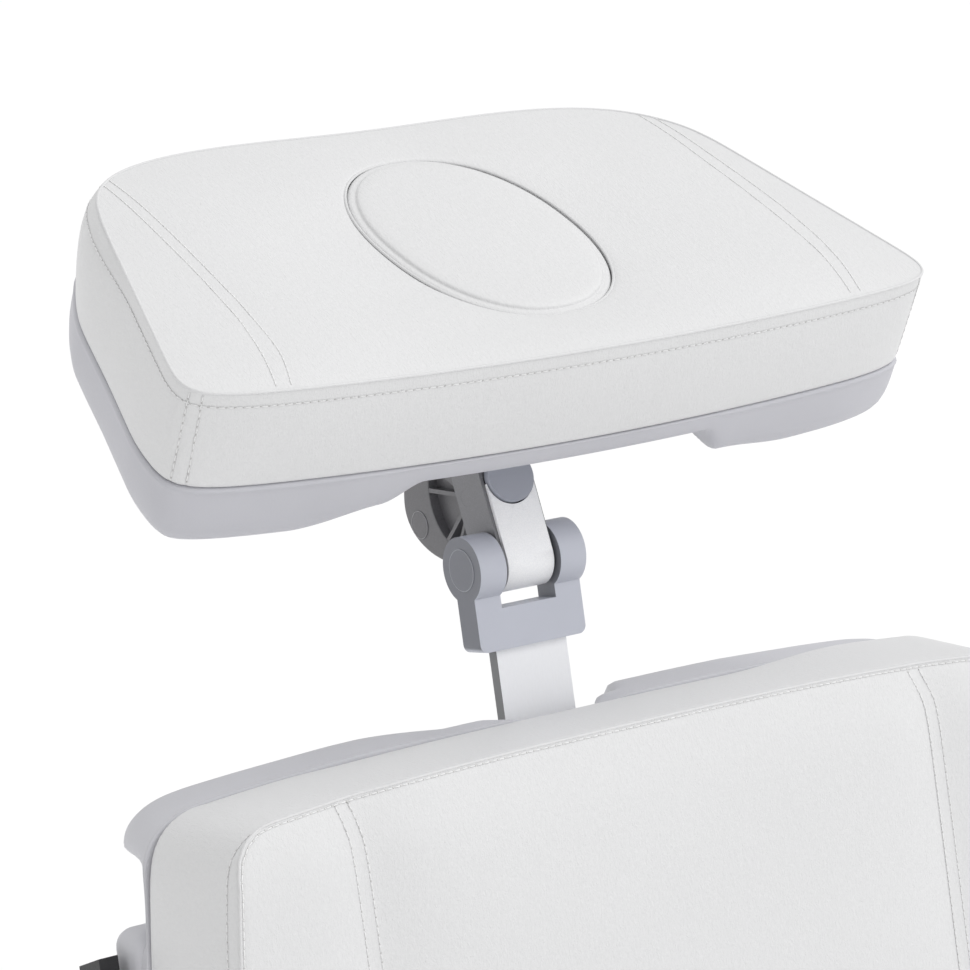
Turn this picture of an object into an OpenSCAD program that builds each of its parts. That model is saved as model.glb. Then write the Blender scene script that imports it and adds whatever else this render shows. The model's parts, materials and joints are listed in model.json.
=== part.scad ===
// Treatment chair with a reclining back, folding leg rest and a two-joint headrest with a face hole.
// Millimetres. Front of the chair is -Y, +Z is up, the floor is z = 0.

/* [Seat and back] */
// Height of the top of the seat above the floor
seat_h = 600; // [590:2:610]
// Width of the seat and leg cushions
seat_w = 600; // [580:5:620]
// Recline angle of the back from horizontal
back_angle = 76.5; // [74:0.5:80]
// Width of the back cushion across its top seam
back_top_w = 555; // [545:1:565]
// Distance from the recline hinge to the top seam of the back
back_len = 700; // [690:1:705]
// Leg rest angle below horizontal
leg_angle = 64; // [60:1:66]

/* [Headrest] */
// Tilt of the headrest pad from horizontal
head_tilt = 20.5; // [18:0.5:24]
// Width of the pad at its near edge
head_near_w = 524; // [510:1:530]
// Width of the pad at its far edge
head_far_w = 396; // [385:1:405]
// Length of the pad from near edge to far edge
head_len = 248; // [240:1:256]
// Thickness of the pad's side band
head_band = 55; // [50:1:58]
// Half width of the face hole
hole_a = 68; // [64:1:72]
// Half length of the face hole
hole_b = 86; // [82:1:88]

/* [Neck] */
// Width of the flat headrest bar
bar_w = 50; // [46:1:52]
// Thickness of the flat headrest bar
bar_t = 7.8; // [6:0.1:8]
// Radius of the bracket's ears
ear_r = 19.5; // [18:0.1:20]
// Angle of the neck link from horizontal
link_angle = 62.7; // [60:0.1:66]

/* [Hidden] */
$fn = 48;
seat_y = 63.5;            // shift that centres the whole chair on the origin
hinge_y = seat_y + 128;   // recline hinge
hinge_z = seat_h - 55;
leg_y = seat_y - 414;     // leg rest hinge
leg_z = seat_h - 105;
base_y = seat_y - 60;     // centre of the base
col_y = seat_y - 110;     // centre of the lift column
bar_n = -62;              // front face of the bar, in the back's frame
brk_s = 746;              // lower edge of the bracket, in the back's frame
neck_s = 795;             // lower neck pivot, in the back's frame
neck_n = -67.5;
neck_y = hinge_y + neck_s*cos(back_angle) - neck_n*sin(back_angle);
neck_z = hinge_z + neck_s*sin(back_angle) + neck_n*cos(back_angle);
tilt_y = neck_y + 42*cos(link_angle) + 5*sin(link_angle);   // upper neck pivot
tilt_z = neck_z + 42*sin(link_angle) - 5*cos(link_angle);
head_y = neck_y + 45.6;   // centre of the pad's seam plane
head_z = neck_z + 192.5;
white = [0.93, 0.925, 0.91];
shellc = [0.78, 0.78, 0.81];
steelc = [0.30, 0.31, 0.33];
blackc = [0.06, 0.06, 0.07];
silverc = [0.75, 0.76, 0.78];
woodc = [0.72, 0.58, 0.40];
bracketc = [0.66, 0.67, 0.72];

// ---- small helpers -------------------------------------------------------
// rounded rectangle, centred
module rr(w, h, r) {
  square([w - 2*r, h], center = true);
  square([w, h - 2*r], center = true);
  for (i = [-1, 1], j = [-1, 1]) translate([i*(w/2 - r), j*(h/2 - r)]) circle(r);
}
// side profile in (y, z) drawn out along X
module xp(x0, x1) translate([x0, 0, 0]) rotate([90, 0, 90]) linear_extrude(x1 - x0) children();
// profile in (x, z) drawn out along Y
module yp(y0, y1) translate([0, y1, 0]) rotate([90, 0, 0]) linear_extrude(y1 - y0) children();
module xc(r, x0, x1) translate([x0, 0, 0]) rotate([0, 90, 0]) cylinder(r = r, h = x1 - x0);
module yc(r, y0, y1) translate([0, y0, 0]) rotate([-90, 0, 0]) cylinder(r = r, h = y1 - y0);
module box(x0, x1, y0, y1, z0, z1) translate([x0, y0, z0]) cube([x1 - x0, y1 - y0, z1 - z0]);
module both() { children(); mirror([1, 0, 0]) children(); }
module slab(z0, z1) translate([0, 0, z0]) linear_extrude(z1 - z0) children();
module back_frame() translate([0, hinge_y, hinge_z]) rotate([back_angle, 0, 0]) children();
module leg_frame() translate([0, leg_y, leg_z]) rotate([leg_angle, 0, 0]) children();
module head_frame() translate([0, head_y, head_z]) rotate([head_tilt, 0, 0]) children();
module neck_frame() translate([0, neck_y, neck_z]) rotate([link_angle, 0, 0]) children();
module hub_frame() translate([0, tilt_y, tilt_z]) children();

// back outline: flares from the top seam downwards, e is the outward offset
function flare(t) = let (u = min(t, 330)) 0.166*u - 0.166*u*u/660;
function bk_half(e) = let (r = 38, x0 = back_top_w/2 + flare(r) + e, xb = back_top_w/2 + flare(600) + e, rb = 40)
  concat(
    [for (a = [-90:15:0]) [xb - rb + rb*cos(a), 52 - e*0.3 + rb + rb*sin(a)]],
    [for (t = [520:-80:120]) [back_top_w/2 + flare(t) + e, back_len - t]],
    [for (a = [0:9:90]) [x0 - r + r*cos(a), back_len - r + (r + e + 5.5*(1 - pow((x0 - r)/x0, 2)))*sin(a)]],
    [for (x = [180, 120, 60, 0]) [x, back_len + e + 5.5*(1 - pow(x/x0, 2))]]);
function mirrored(h) = concat(h, [for (i = [len(h) - 1:-1:0]) if (h[i][0] > 0.01) [-h[i][0], h[i][1]]]);
module back_outline(e) polygon(mirrored(bk_half(e)));

// headrest outline: squarish near corners, rounder far corners, e is the outward offset
HPHI = [0, 12, 24, 33, 38, 41, 43, 44, 45, 46, 47, 49, 52, 57, 66, 78, 90];
function he(p, n, sy, e) = let (c = cos(p), s = sin(p), q = pow(pow(c, n) + pow(s, n), -1/n), X = q*c, Y = sy*q*s,
    L = head_len + 2*e, wn = head_near_w + 2*e, wf = head_far_w + 2*e,
    y = Y*L/2, w = wn + (wf - wn)*(y + L/2)/L, b = sy < 0 ? -12*(1 - X*X)*abs(Y) : 0)
  [X*w/2, y + b];
function head_half(e) = concat([for (i = [len(HPHI) - 1:-1:1]) he(HPHI[i], 15, -1, e)], [for (p = [0:6:90]) he(p, 4.4, 1, e)]);
module head_outline(e) polygon(mirrored([for (q = head_half(e)) [abs(q[0]) < 0.01 ? 0 : q[0], q[1]]]));
module oval(a, b) polygon([for (t = [0:7.5:359]) [a*cos(t), -12 + b*sin(t)]]);

// ---- base -----------------------------------------------------------------
module levelling_feet() color(blackc)
  for (i = [-1, 1], j = [-1, 1]) translate([i*225, base_y + j*300, 0]) {
    cylinder(r1 = 28, r2 = 24, h = 12);
    cylinder(r = 6, h = 40);
    translate([0, 0, 26]) cylinder(r = 10, h = 7);
  }
module base_plate() color(steelc) difference() {
  translate([0, base_y, 16]) linear_extrude(10) rr(540, 700, 40);
  for (i = [-1, 1], j = [-1, 1]) translate([i*225, base_y + j*300, 10]) cylinder(r = 6.1, h = 20);
}
module base_cover() color(shellc) difference() {
  hull() {
    translate([0, base_y, 18]) linear_extrude(44) rr(600, 760, 60, $fn = 32);
    translate([0, base_y, 111]) linear_extrude(3) rr(450, 610, 50, $fn = 32);
  }
  hull() {
    translate([0, base_y, 17]) linear_extrude(43) rr(593, 753, 57, $fn = 32);
    translate([0, base_y, 107]) linear_extrude(3.5) rr(444, 604, 47, $fn = 32);
  }
  translate([0, col_y, 90]) linear_extrude(40) rr(142, 162, 10);
  box(-20, 20, base_y + 370, base_y + 390, 28, 54);
  translate([290, base_y + 180, 41]) xc(9.5, 0, 20);
}
module mains_inlet() color(blackc) translate([0, base_y + 60, 0]) difference() {
  union() { box(-19.5, 19.5, 300, 320.5, 28.5, 53.5); box(-26, 26, 320.2, 323.5, 25, 57); }
  box(-12, 12, 306, 330, 33, 49);
}
module hand_control_socket() color(blackc) translate([0, base_y + 180, 41]) difference() {
  union() { xc(9, 285, 302); xc(12.5, 300.2, 303.5); }
  xc(6, 292, 310);
}
module control_box() color(steelc) translate([0, base_y + 60, 0]) {
  box(102, 190, -20, 160, 26, 80);
  for (y = [10, 70, 130]) box(188, 200, y - 5, y + 5, 26, 40);
}
module lift_column_outer() color(silverc) translate([0, col_y, 0]) difference() {
  union() { slab(26, 386) rr(136, 156, 12); slab(26, 34) rr(196, 216, 12); }
  slab(20, 400) rr(126, 146, 8);
}
module lift_column_collar() color(blackc) translate([0, col_y, 0]) difference() {
  union() { slab(386.1, 396) rr(140, 160, 14); slab(346, 386.2) rr(125.4, 145.4, 7.8); }
  slab(340, 400) rr(120.8, 140.8, 7.4);
}
module lift_motor() color(steelc) translate([0, col_y, 0]) difference() {
  union() { slab(26, 78) rr(88, 88, 6); cylinder(r = 22, h = 430); }
  translate([0, 0, 130]) cylinder(r = 10.06, h = 310);
  translate([0, 0, -1]) cylinder(r = 40, h = 27);
}
module lift_column_inner() color(silverc) translate([0, col_y, 0]) difference() {
  slab(60, 448) rr(120, 140, 7);
  slab(50, 460) rr(110, 130, 4);
}
module lift_rod() color(silverc) translate([0, col_y, 148]) cylinder(r = 10, h = 300);

// ---- seat -------------------------------------------------------------------
module head_plate() color(steelc) difference() {
  translate([0, col_y, seat_h - 152]) linear_extrude(10) rr(436, 300, 16);
  for (i = [-1, 1], j = [-1, 1]) translate([i*195, col_y + j*110, seat_h - 160]) cylinder(r = 5, h = 30);
}
module rail_profile() difference() { square([30, 40]); translate([3, 3]) square([24, 34]); }
module seat_rails() color(steelc) both() seat_rail_r();
module seat_rail_r() translate([0, seat_y, seat_h - 600]) difference() {
  union() {
    translate([180, 0, 458]) yp(-380, 100) rail_profile();
    xp(202, 210) {
      polygon([[-390, 460], [-378, 460], [-378, 497.8], [-400, 497.8], [-426, 495], [-420, 484]]);
      translate([-414, 495]) circle(13);
      polygon([[40, 458], [104, 458], [142.3, 540], [113.7, 548], [113.7, 504], [100, 498], [40, 498]]);
      translate([128, 545]) circle(14.5);
    }
  }
  translate([0, -414, 495]) xc(10.05, 190, 230);
  translate([0, 128, 545]) xc(10.05, 190, 230);
}
module seat_board() color(woodc) translate([0, seat_y - 165, seat_h - 102]) linear_extrude(12) rr(seat_w - 40, 450, 30);
module seat_cushion() color(white) translate([0, seat_y - 150, seat_h - 90]) linear_extrude(90) rr(seat_w, 508, 45);
module seat_side_covers() color(shellc) translate([0, seat_y, seat_h - 600]) both() yp(-376, 30)
  polygon([[296, 509], [296, 474], [292, 464], [274, 447], [266, 444], [224, 444], [224, 447], [265, 447], [272, 449.5],
    [289, 465.5], [293, 475], [293, 509]]);
module backrest_hinge_shaft() color(silverc) translate([0, hinge_y, hinge_z]) xc(10, -227, 227);
module legrest_hinge_shaft() color(silverc) translate([0, leg_y, leg_z]) xc(10, -227, 227);
module post_r() translate([0, seat_y, seat_h - 600]) difference() {
  union() {
    box(210, 346, 42, 78, 464, 492);
    box(326, 346, 42, 78, 464, 790);
    xp(326, 346) translate([60, 790]) circle(20);
  }
  translate([0, 60, 790]) xc(8.06, 320, 350);
}
module armrest_posts() color(silverc) both() post_r();

// ---- actuators ----------------------------------------------------------------
module backrest_motor() color(blackc) translate([0, seat_y, seat_h - 600]) difference() {
  union() {
    box(80, 120, -165, 50, 458, 496);
    box(80, 164, -200, -165, 458, 496);
    translate([146, 0, 477]) yc(17, -166, -60);
  }
  translate([100, 0, 476]) yc(10.06, -155, 60);
}
module backrest_rod() color(silverc) translate([100, seat_y, seat_h - 124]) {
  yc(10, -30, 182.4);
  translate([0, 182.4, 0]) { xc(12.5, -11, 11); xc(5, -22, 22); }
}
module legrest_motor() color(blackc) translate([0, seat_y, seat_h - 600]) difference() {
  union() {
    box(-120, -80, -290, -55, 406, 448);
    box(-164, -80, -56, -20, 406, 448);
    translate([-146, 0, 426]) yc(17, -160, -55);
  }
  translate([-100, 0, 425]) yc(10.06, -300, -65);
}
module legrest_rod() color(silverc) translate([-100, seat_y, seat_h - 175]) {
  yc(10, -370.3, -100);
  translate([0, -370.3, 0]) { xc(12.5, -11, 11); xc(5, -22, 22); }
}

// ---- back -----------------------------------------------------------------------
module back_rail_r() back_frame() difference() {
  union() {
    difference() { box(213, 243, 60, 600, -73, -43.5); box(216, 240, 50, 610, -70, -46.5); }
    xp(213, 221) {
      circle(15);
      polygon([[-9, -12], [62, -73], [110, -73], [110, -43.5], [60, -43.5], [44, -36], [12, 9]]);
    }
  }
  xc(10.06, 200, 230);
}
module backrest_rail_left() color(steelc) mirror([1, 0, 0]) back_rail_r();
module backrest_rail_right() color(steelc) back_rail_r();
module backrest_lever() color(steelc) back_frame() {
  translate([0, 82, -58]) xc(12, -213, 213);
  for (x = [82, 112]) xp(x, x + 6) difference() {
    union() {
      translate([-56.6, -71.3]) circle(17);
      polygon([[-69.9, -60.7], [-54.4, -41.1], [-30, -42], [70, -46], [94, -46], [94, -70], [-43.3, -81.9]]);
    }
    translate([-41.1, -51.7]) circle(9.5);
    translate([-56.6, -71.3]) circle(9.5);
    translate([-48.85, -61.5]) rotate(51.6) square([25, 19], center = true);
  }
}
module backrest_board() color(woodc) back_frame() slab(-43, -33.2) intersection() {
  back_outline(-8);
  translate([-400, 64]) square([800, 900]);
}
module backrest_cushion() color(white) back_frame() slab(-33, 57) back_outline(5);
module lobe_base(d) polygon([[62 + d, 128 + d], [62 + d, back_len + 9 - d], [200, back_len + 8 - d], [240, back_len + 4 - d],
  [268 - d, back_len - 12], [280 - d, back_len - 34], [286 - d, back_len - 62], [300 - d, 420], [303 - d, 128 + d]]);
module lobe_top(d) polygon([[104 + d, 150 + d], [104 + d, back_len + 1 - d], [200, back_len - 3 - d], [235 - d, back_len - 22],
  [249 - d, back_len - 62], [268 - d, 480], [272 - d, 150 + d]]);
module backrest_shell() color(shellc) back_frame() difference() {
  union() {
    slab(-46, -33.2) difference() { back_outline(6.5); back_outline(-7); }
    slab(-46, -43.2) difference() { back_outline(-6); translate([-400, -100]) square([800, 228]); }
    both() hull() { slab(-46, -44) lobe_base(0, $fn = 24); slab(-87, -86) lobe_top(0, $fn = 24); }
    both() difference() { box(262, 300, 583, 641, -74, -43.4); box(297, 301, 578, 648, -80, -66); }
  }
  both() hull() { slab(-44, -43) lobe_base(3.5, $fn = 24); slab(-84, -83) lobe_top(3, $fn = 24); }
  // the rails, the bar guide and the lever tube pass here
  box(-42, 42, 500, 720, -60, -43);
  slab(-50, -30) translate([-400, -100]) square([800, 164]);
  both() box(209, 247, 100, 154, -80, -43);
}
module bar_guide() color(blackc) back_frame() difference() {
  box(-38, 38, 556, 690, -80, -43.2);
  box(-bar_w/2 - 0.2, bar_w/2 + 0.2, 550, 700, bar_n - bar_t - 0.2, bar_n + 0.2);
}
module roll_holder_brackets() color(blackc) back_frame() both() difference() {
  xp(300.2, 312) polygon([[628, -54], [622, -78], [564, -82], [542, -130], [530, -142], [514, -140], [506, -126], [520, -80], [520, -54]]);
  translate([0, 524, -126]) xc(8.1, 295, 307);
}
module roll_holder_rod() color(silverc) back_frame() translate([0, 524, -126]) xc(8, -306.8, 306.8);

// ---- neck ---------------------------------------------------------------------------
module headrest_bar() color(silverc) back_frame() difference() {
  box(-bar_w/2, bar_w/2, 480, 768, bar_n - bar_t, bar_n);
  for (x = [-14, 14]) translate([x, 757, bar_n - 20]) cylinder(r = 2.6, h = 40);
}
module bar_bracket() color(bracketc) back_frame() difference() {
  union() {
    slab(neck_n - 9, neck_n + 9) translate([0, 758]) rr(75, 24, 5);
    slab(neck_n - 9, neck_n + 9) both() { translate([28.375, 774]) square([18.25, 42], center = true); translate([28.375, 760]) square([18.25, 12], center = true); }
    both() translate([0, neck_s, neck_n]) xc(ear_r, 19.25, 37.5);
  }
  box(-bar_w/2 - 0.1, bar_w/2 + 0.1, 740, 768.2, bar_n - bar_t - 0.1, bar_n + 0.1);
  translate([0, neck_s, neck_n]) xc(6.05, -40, 40);
  both() translate([0, neck_s, neck_n]) xc(12.4, 35.5, 40);
  for (x = [-14, 14]) translate([x, 757, neck_n - 20]) { cylinder(r = 2.6, h = 40 - 20 + 4); cylinder(r = 5, h = 14); }
}
module bracket_screws() color(silverc) back_frame() for (x = [-14, 14]) translate([x, 757, neck_n]) {
  translate([0, 0, -9.5]) cylinder(r = 4.6, h = 3.4);
  translate([0, 0, -7]) cylinder(r = 2.5, h = 12);
}
module lower_pivot_pin() color(silverc) back_frame() translate([0, neck_s, neck_n]) xc(6, -35.3, 35.3);
module pivot_caps() color(bracketc) back_frame() both() translate([0, neck_s, neck_n]) xc(12.2, 35.5, 37.9);
module neck_link() color([0.45, 0.45, 0.48]) neck_frame() difference() {
  union() {
    xc(14.5, -18.25, 18.25);
    both() xp(14.75, 18.25) { translate([27, 0]) square([54, 29], center = true); translate([30, 0]) square([60, 17], center = true);
      for (j = [-1, 1]) translate([54, j*8.5]) circle(6); }
    difference() {
      box(-18.25, 18.25, 0, 57, 11, 14.5);
      translate([0, 46.5, 5]) cylinder(r = 16.2, h = 12);
      box(-14.6, 14.6, 46.5, 70, 5, 20);
    }
  }
  xc(6.06, -20, 20);
  translate([0, 42, -5]) xc(5.05, -20, 20);
  translate([0, 46.5, 11]) cylinder(r = 16.2, h = 12);
}
module link_cover() color(silverc) neck_frame() difference() {
  xp(-16.2, 16.2) {
    difference() {
      circle(17);
      circle(14.6);
      translate([0, -20]) square(40);
      polygon([[0, 0], [-32, -23], [0, -40]]);
    }
    translate([-0.02, 14.6]) square([58, 2.4]);
  }
  translate([0, 46.5, 5]) cylinder(r = 16.3, h = 20);
  box(-16.3, 16.3, 46.5, 70, 5, 30);
}
module upper_pivot_pin() color(silverc) neck_frame() translate([0, 42, -5]) xc(5, -18.2, 18.2);
module release_button() color(bracketc) neck_frame() intersection() {
  slab(14.8, 19.6) { translate([0, 46.5]) circle(15.5); translate([-14, 46.5]) square([28, 11.5]); }
  box(-20, 20, 20, 58, 0, 30);
}

// ---- headrest -----------------------------------------------------------------------------
module hub_sector() polygon([[0, 0], [75, 27], [90, -20], [80, -70], [24, -74]]);
module hub_outline() {
  intersection() { translate([21.6, 1.6]) circle(45.5); hub_sector(); }
  translate([47.5, -28]) circle(12.5);
  circle(14.8);
  polygon([[19, 3], [62, 18], [58, 95.1], [18, 80.2]]);
}
module hub_recess() difference() {
  intersection() { translate([9.6, -0.4]) circle(35); polygon([[2, -1], [70, 14], [80, -20], [60, -60], [24, -60], [16, -40]]); }
  circle(12);
  for (a = [-8, -53]) rotate(a) translate([0, -1.3]) square([60, 2.6]);
}
module tilt_hub() color([0.36, 0.36, 0.39]) {
  hub_frame() difference() {
    xp(-14.4, 14.4) hub_outline();
    xc(5.06, -20, 20);
    both() xp(8.4, 20) hub_recess();
    both() translate([0, 47.5, -28]) xc(8.6, 12.6, 20);
  }
  head_frame() slab(-head_band - 20, -head_band - 12.2) translate([0, -12]) rr(150, 60, 12);
}
module hub_plugs() color([0.42, 0.42, 0.45]) hub_frame() both() translate([0, 47.5, -28]) xc(8.4, 12.6, 14.8);
module hl_base(d) polygon([[108 + d, -124 + d], [190, -122.5 + d], [248 - d, -119 + d], [258 - d, -104], [228 - d*0.9, 20], [206 - d*0.9, 80], [180 - d, 106 - d], [108 + d, 118 - d]]);
module hl_low(d) polygon([[132 + d, -110 + d], [200 - d, -108 + d], [226 - d, -98], [232 - d, -84], [208 - d, 10], [186 - d, 66], [165 - d, 84 - d], [132 + d, 94 - d]]);
module headrest_shell() color(shellc) head_frame() difference() {
  union() {
    slab(-head_band - 12, -head_band - 0.2) head_outline(2);
    both() hull() { slab(-head_band - 12, -head_band - 10) hl_base(0, $fn = 24); slab(-head_band - 31, -head_band - 30) hl_low(0, $fn = 24); }
  }
  slab(-head_band - 9.4, -head_band + 1) head_outline(-7);
  both() hull() { slab(-head_band - 10, -head_band - 9) hl_base(3.5, $fn = 24); slab(-head_band - 28, -head_band - 27) hl_low(3, $fn = 24); }
  slab(-head_band - 40, -head_band + 5) oval(hole_a - 10, hole_b - 10);
}
module headrest_board() color(woodc) head_frame() slab(-head_band - 9.2, -head_band - 0.2) difference() {
  head_outline(-8); oval(hole_a - 10, hole_b - 10);
}
module headrest_pad() color(white) head_frame() slab(-head_band, 5) difference() { head_outline(3); oval(hole_a, hole_b); }
module face_plug() color(white) head_frame() slab(-head_band + 0.2, 4) oval(hole_a - 3.5, hole_b - 3.5);

// ---- leg rest -------------------------------------------------------------------------------
module leg_rail_r() leg_frame() difference() {
  union() {
    difference() { box(213, 243, -350, -16, -27, 2.8); box(216, 240, -360, -10, -24, -0.2); }
    xp(213, 221) { circle(13); polygon([[-40, 2.8], [-40, -27], [-20, -27], [8, -10], [2, 12.6], [-12, 2.8]]); }
  }
  xc(10.06, 200, 230);
}
module legrest_rail_left() color(steelc) mirror([1, 0, 0]) leg_rail_r();
module legrest_rail_right() color(steelc) leg_rail_r();
module legrest_lever() color(steelc) leg_frame() {
  translate([0, -60, -12]) xc(11, -213, 213);
  for (x = [-118, -88]) xp(x, x + 6) difference() {
    union() {
      translate([-45, -72.1]) circle(16);
      polygon([[-71, -12], [-58.6, -63.6], [-31.4, -80.6], [-22.4, -66.2], [-49, -8]]);
    }
    translate([-36, -57.7]) circle(8.5);
    translate([-45, -72.1]) circle(8.5);
    translate([-40.5, -64.9]) rotate(58) square([17, 17], center = true);
  }
}
module legrest_cross_bar() color(steelc) leg_frame() difference() {
  box(-213, 213, -345, -300, -24, 2.8);
  for (x = [-120, 120]) translate([x, 0, -11]) yc(8.06, -350, -290);
}
module legrest_board() color(woodc) leg_frame() slab(3, 15) translate([0, -182]) rr(seat_w - 40, 336, 20);
module legrest_cushion() color(white) leg_frame() slab(15.2, 105) translate([0, -182]) rr(seat_w, 336, 35);
module legrest_shell() color(shellc) leg_frame() difference() {
  hull() { slab(-2, 2.8) translate([0, -214]) rr(576, 272, 20, $fn = 32); slab(-42, -38) translate([0, -214]) rr(520, 240, 30, $fn = 32); }
  hull() { slab(-2, 5) translate([0, -214]) rr(570, 266, 17, $fn = 32); slab(-39, -37) translate([0, -214]) rr(514, 234, 27, $fn = 32); }
  both() box(209, 247, -360, -70, -30, 5);
  box(-214, 214, -360, -300, -27, 5);
}
module footrest_frame() color(silverc) leg_frame() {
  for (x = [-120, 120]) translate([x, 0, -11]) yc(8, -357, -190);
  box(-262, 262, -364, -356, -24, 92);
}
module footrest_pad() color(white) leg_frame() yp(-430, -364.2) translate([0, 42]) rr(seat_w - 10, 118, 34);

// ---- arms ----------------------------------------------------------------------------------------
module arm_r() translate([0, seat_y + 60, seat_h + 190]) {
  xc(8, 324, 349);
  xp(348, 366) { circle(20); polygon([[0, -20], [0, 16], [-372, 16], [-372, 4], [-120, -12], [-60, -20]]); }
  slab(8, 16) translate([386, -210]) rr(64, 330, 20);
}
module arm_pad_r() translate([0, seat_y + 60, seat_h + 190]) slab(16.2, 58) translate([386, -207]) rr(80, 366, 36);
module armrest_arm_left() color(blackc) mirror([1, 0, 0]) arm_r();
module armrest_arm_right() color(blackc) arm_r();
module armrest_pad_left() color(white) mirror([1, 0, 0]) arm_pad_r();
module armrest_pad_right() color(white) arm_pad_r();

levelling_feet();
base_plate();
base_cover();
mains_inlet();
hand_control_socket();
control_box();
lift_column_outer();
lift_column_collar();
lift_motor();
lift_column_inner();
lift_rod();
head_plate();
seat_rails();
seat_board();
seat_cushion();
seat_side_covers();
backrest_hinge_shaft();
legrest_hinge_shaft();
armrest_posts();
backrest_motor();
backrest_rod();
legrest_motor();
legrest_rod();
backrest_rail_left();
backrest_rail_right();
backrest_lever();
backrest_board();
backrest_cushion();
backrest_shell();
bar_guide();
roll_holder_brackets();
roll_holder_rod();
headrest_bar();
bar_bracket();
bracket_screws();
lower_pivot_pin();
pivot_caps();
neck_link();
link_cover();
upper_pivot_pin();
release_button();
tilt_hub();
hub_plugs();
headrest_shell();
headrest_board();
headrest_pad();
face_plug();
legrest_rail_left();
legrest_rail_right();
legrest_lever();
legrest_cross_bar();
legrest_board();
legrest_cushion();
legrest_shell();
footrest_frame();
footrest_pad();
armrest_arm_left();
armrest_arm_right();
armrest_pad_left();
armrest_pad_right();
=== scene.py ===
import json
import math
import time

import bpy
import numpy as np
from mathutils import Matrix, Vector
from mathutils.bvhtree import BVHTree
from mathutils.kdtree import KDTree


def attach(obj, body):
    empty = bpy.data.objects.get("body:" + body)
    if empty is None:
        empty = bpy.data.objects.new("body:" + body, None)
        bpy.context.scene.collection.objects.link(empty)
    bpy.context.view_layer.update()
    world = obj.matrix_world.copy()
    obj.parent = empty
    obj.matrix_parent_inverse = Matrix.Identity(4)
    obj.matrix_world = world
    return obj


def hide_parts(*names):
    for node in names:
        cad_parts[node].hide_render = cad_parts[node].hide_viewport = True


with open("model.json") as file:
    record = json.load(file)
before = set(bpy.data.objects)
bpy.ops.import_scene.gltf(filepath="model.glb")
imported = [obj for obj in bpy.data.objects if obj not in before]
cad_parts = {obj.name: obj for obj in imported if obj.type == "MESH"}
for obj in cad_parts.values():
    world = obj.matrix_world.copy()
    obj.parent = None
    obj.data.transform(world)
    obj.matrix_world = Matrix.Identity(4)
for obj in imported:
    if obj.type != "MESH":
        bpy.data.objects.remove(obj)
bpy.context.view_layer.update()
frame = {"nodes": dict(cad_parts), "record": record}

NODES = frame["nodes"]
scene = bpy.context.scene
col = scene.collection
MM = 0.001

# ------------------------------------------------------------------ frames (mm in, metres out)
A, T, K, L = (math.radians(a) for a in (76.5, 62.7, 20.5, 64.0))


def place(origin, ang):
    c, s = math.cos(ang), math.sin(ang)
    return (np.array(origin, float), np.array([[1, 0, 0], [0, c, -s], [0, s, c]], float))


SY = 63.5
HY, HZ = SY + 128, 545.0
PY, PZ = HY + 795 * math.cos(A) + 67.5 * math.sin(A), HZ + 795 * math.sin(A) - 67.5 * math.cos(A)
UY, UZ = PY + 42 * math.cos(T) + 5 * math.sin(T), PZ + 42 * math.sin(T) - 5 * math.cos(T)
ROW = place((0, 0, 0), 0)
BACK = place((0, HY, HZ), A)
LINK = place((0, PY, PZ), T)
HUB = place((0, UY, UZ), 0)
HEAD = place((0, PY + 45.6, PZ + 192.5), K)
LEG = place((0, SY - 414, 495), L)
SEAT = place((0, SY, 0), 0)


def to_row(pts, fr):
    o, r = fr
    return (np.asarray(pts, float) @ r.T + o) * MM


def dir_row(d, fr):
    v = fr[1] @ np.array(d, float)
    return Vector(v / np.linalg.norm(v))


def to_local(pts, fr):
    o, r = fr
    return (np.asarray(pts, float) / MM - o) @ r


def make(name, verts, faces, mat=None, smooth=True):
    me = bpy.data.meshes.new(name)
    me.from_pydata([tuple(map(float, v)) for v in verts], [], [tuple(int(i) for i in f) for f in faces])
    me.validate()
    me.update()
    if smooth:
        me.polygons.foreach_set("use_smooth", [True] * len(me.polygons))
    ob = bpy.data.objects.new(name, me)
    col.objects.link(ob)
    if mat is not None:
        me.materials.append(mat)
    return ob


def outward(ob):
    """Makes the normals of a closed mesh point out."""
    import bmesh

    bm = bmesh.new()
    bm.from_mesh(ob.data)
    bmesh.ops.remove_doubles(bm, verts=bm.verts, dist=1e-6)
    bmesh.ops.recalc_face_normals(bm, faces=bm.faces)
    bm.to_mesh(ob.data)
    bm.free()
    ob.data.polygons.foreach_set("use_smooth", [True] * len(ob.data.polygons))
    return ob


def apply_mods(ob):
    dg = bpy.context.evaluated_depsgraph_get()
    me = bpy.data.meshes.new_from_object(ob.evaluated_get(dg))
    old = ob.data
    ob.modifiers.clear()
    ob.data = me
    bpy.data.meshes.remove(old)
    return ob


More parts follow.
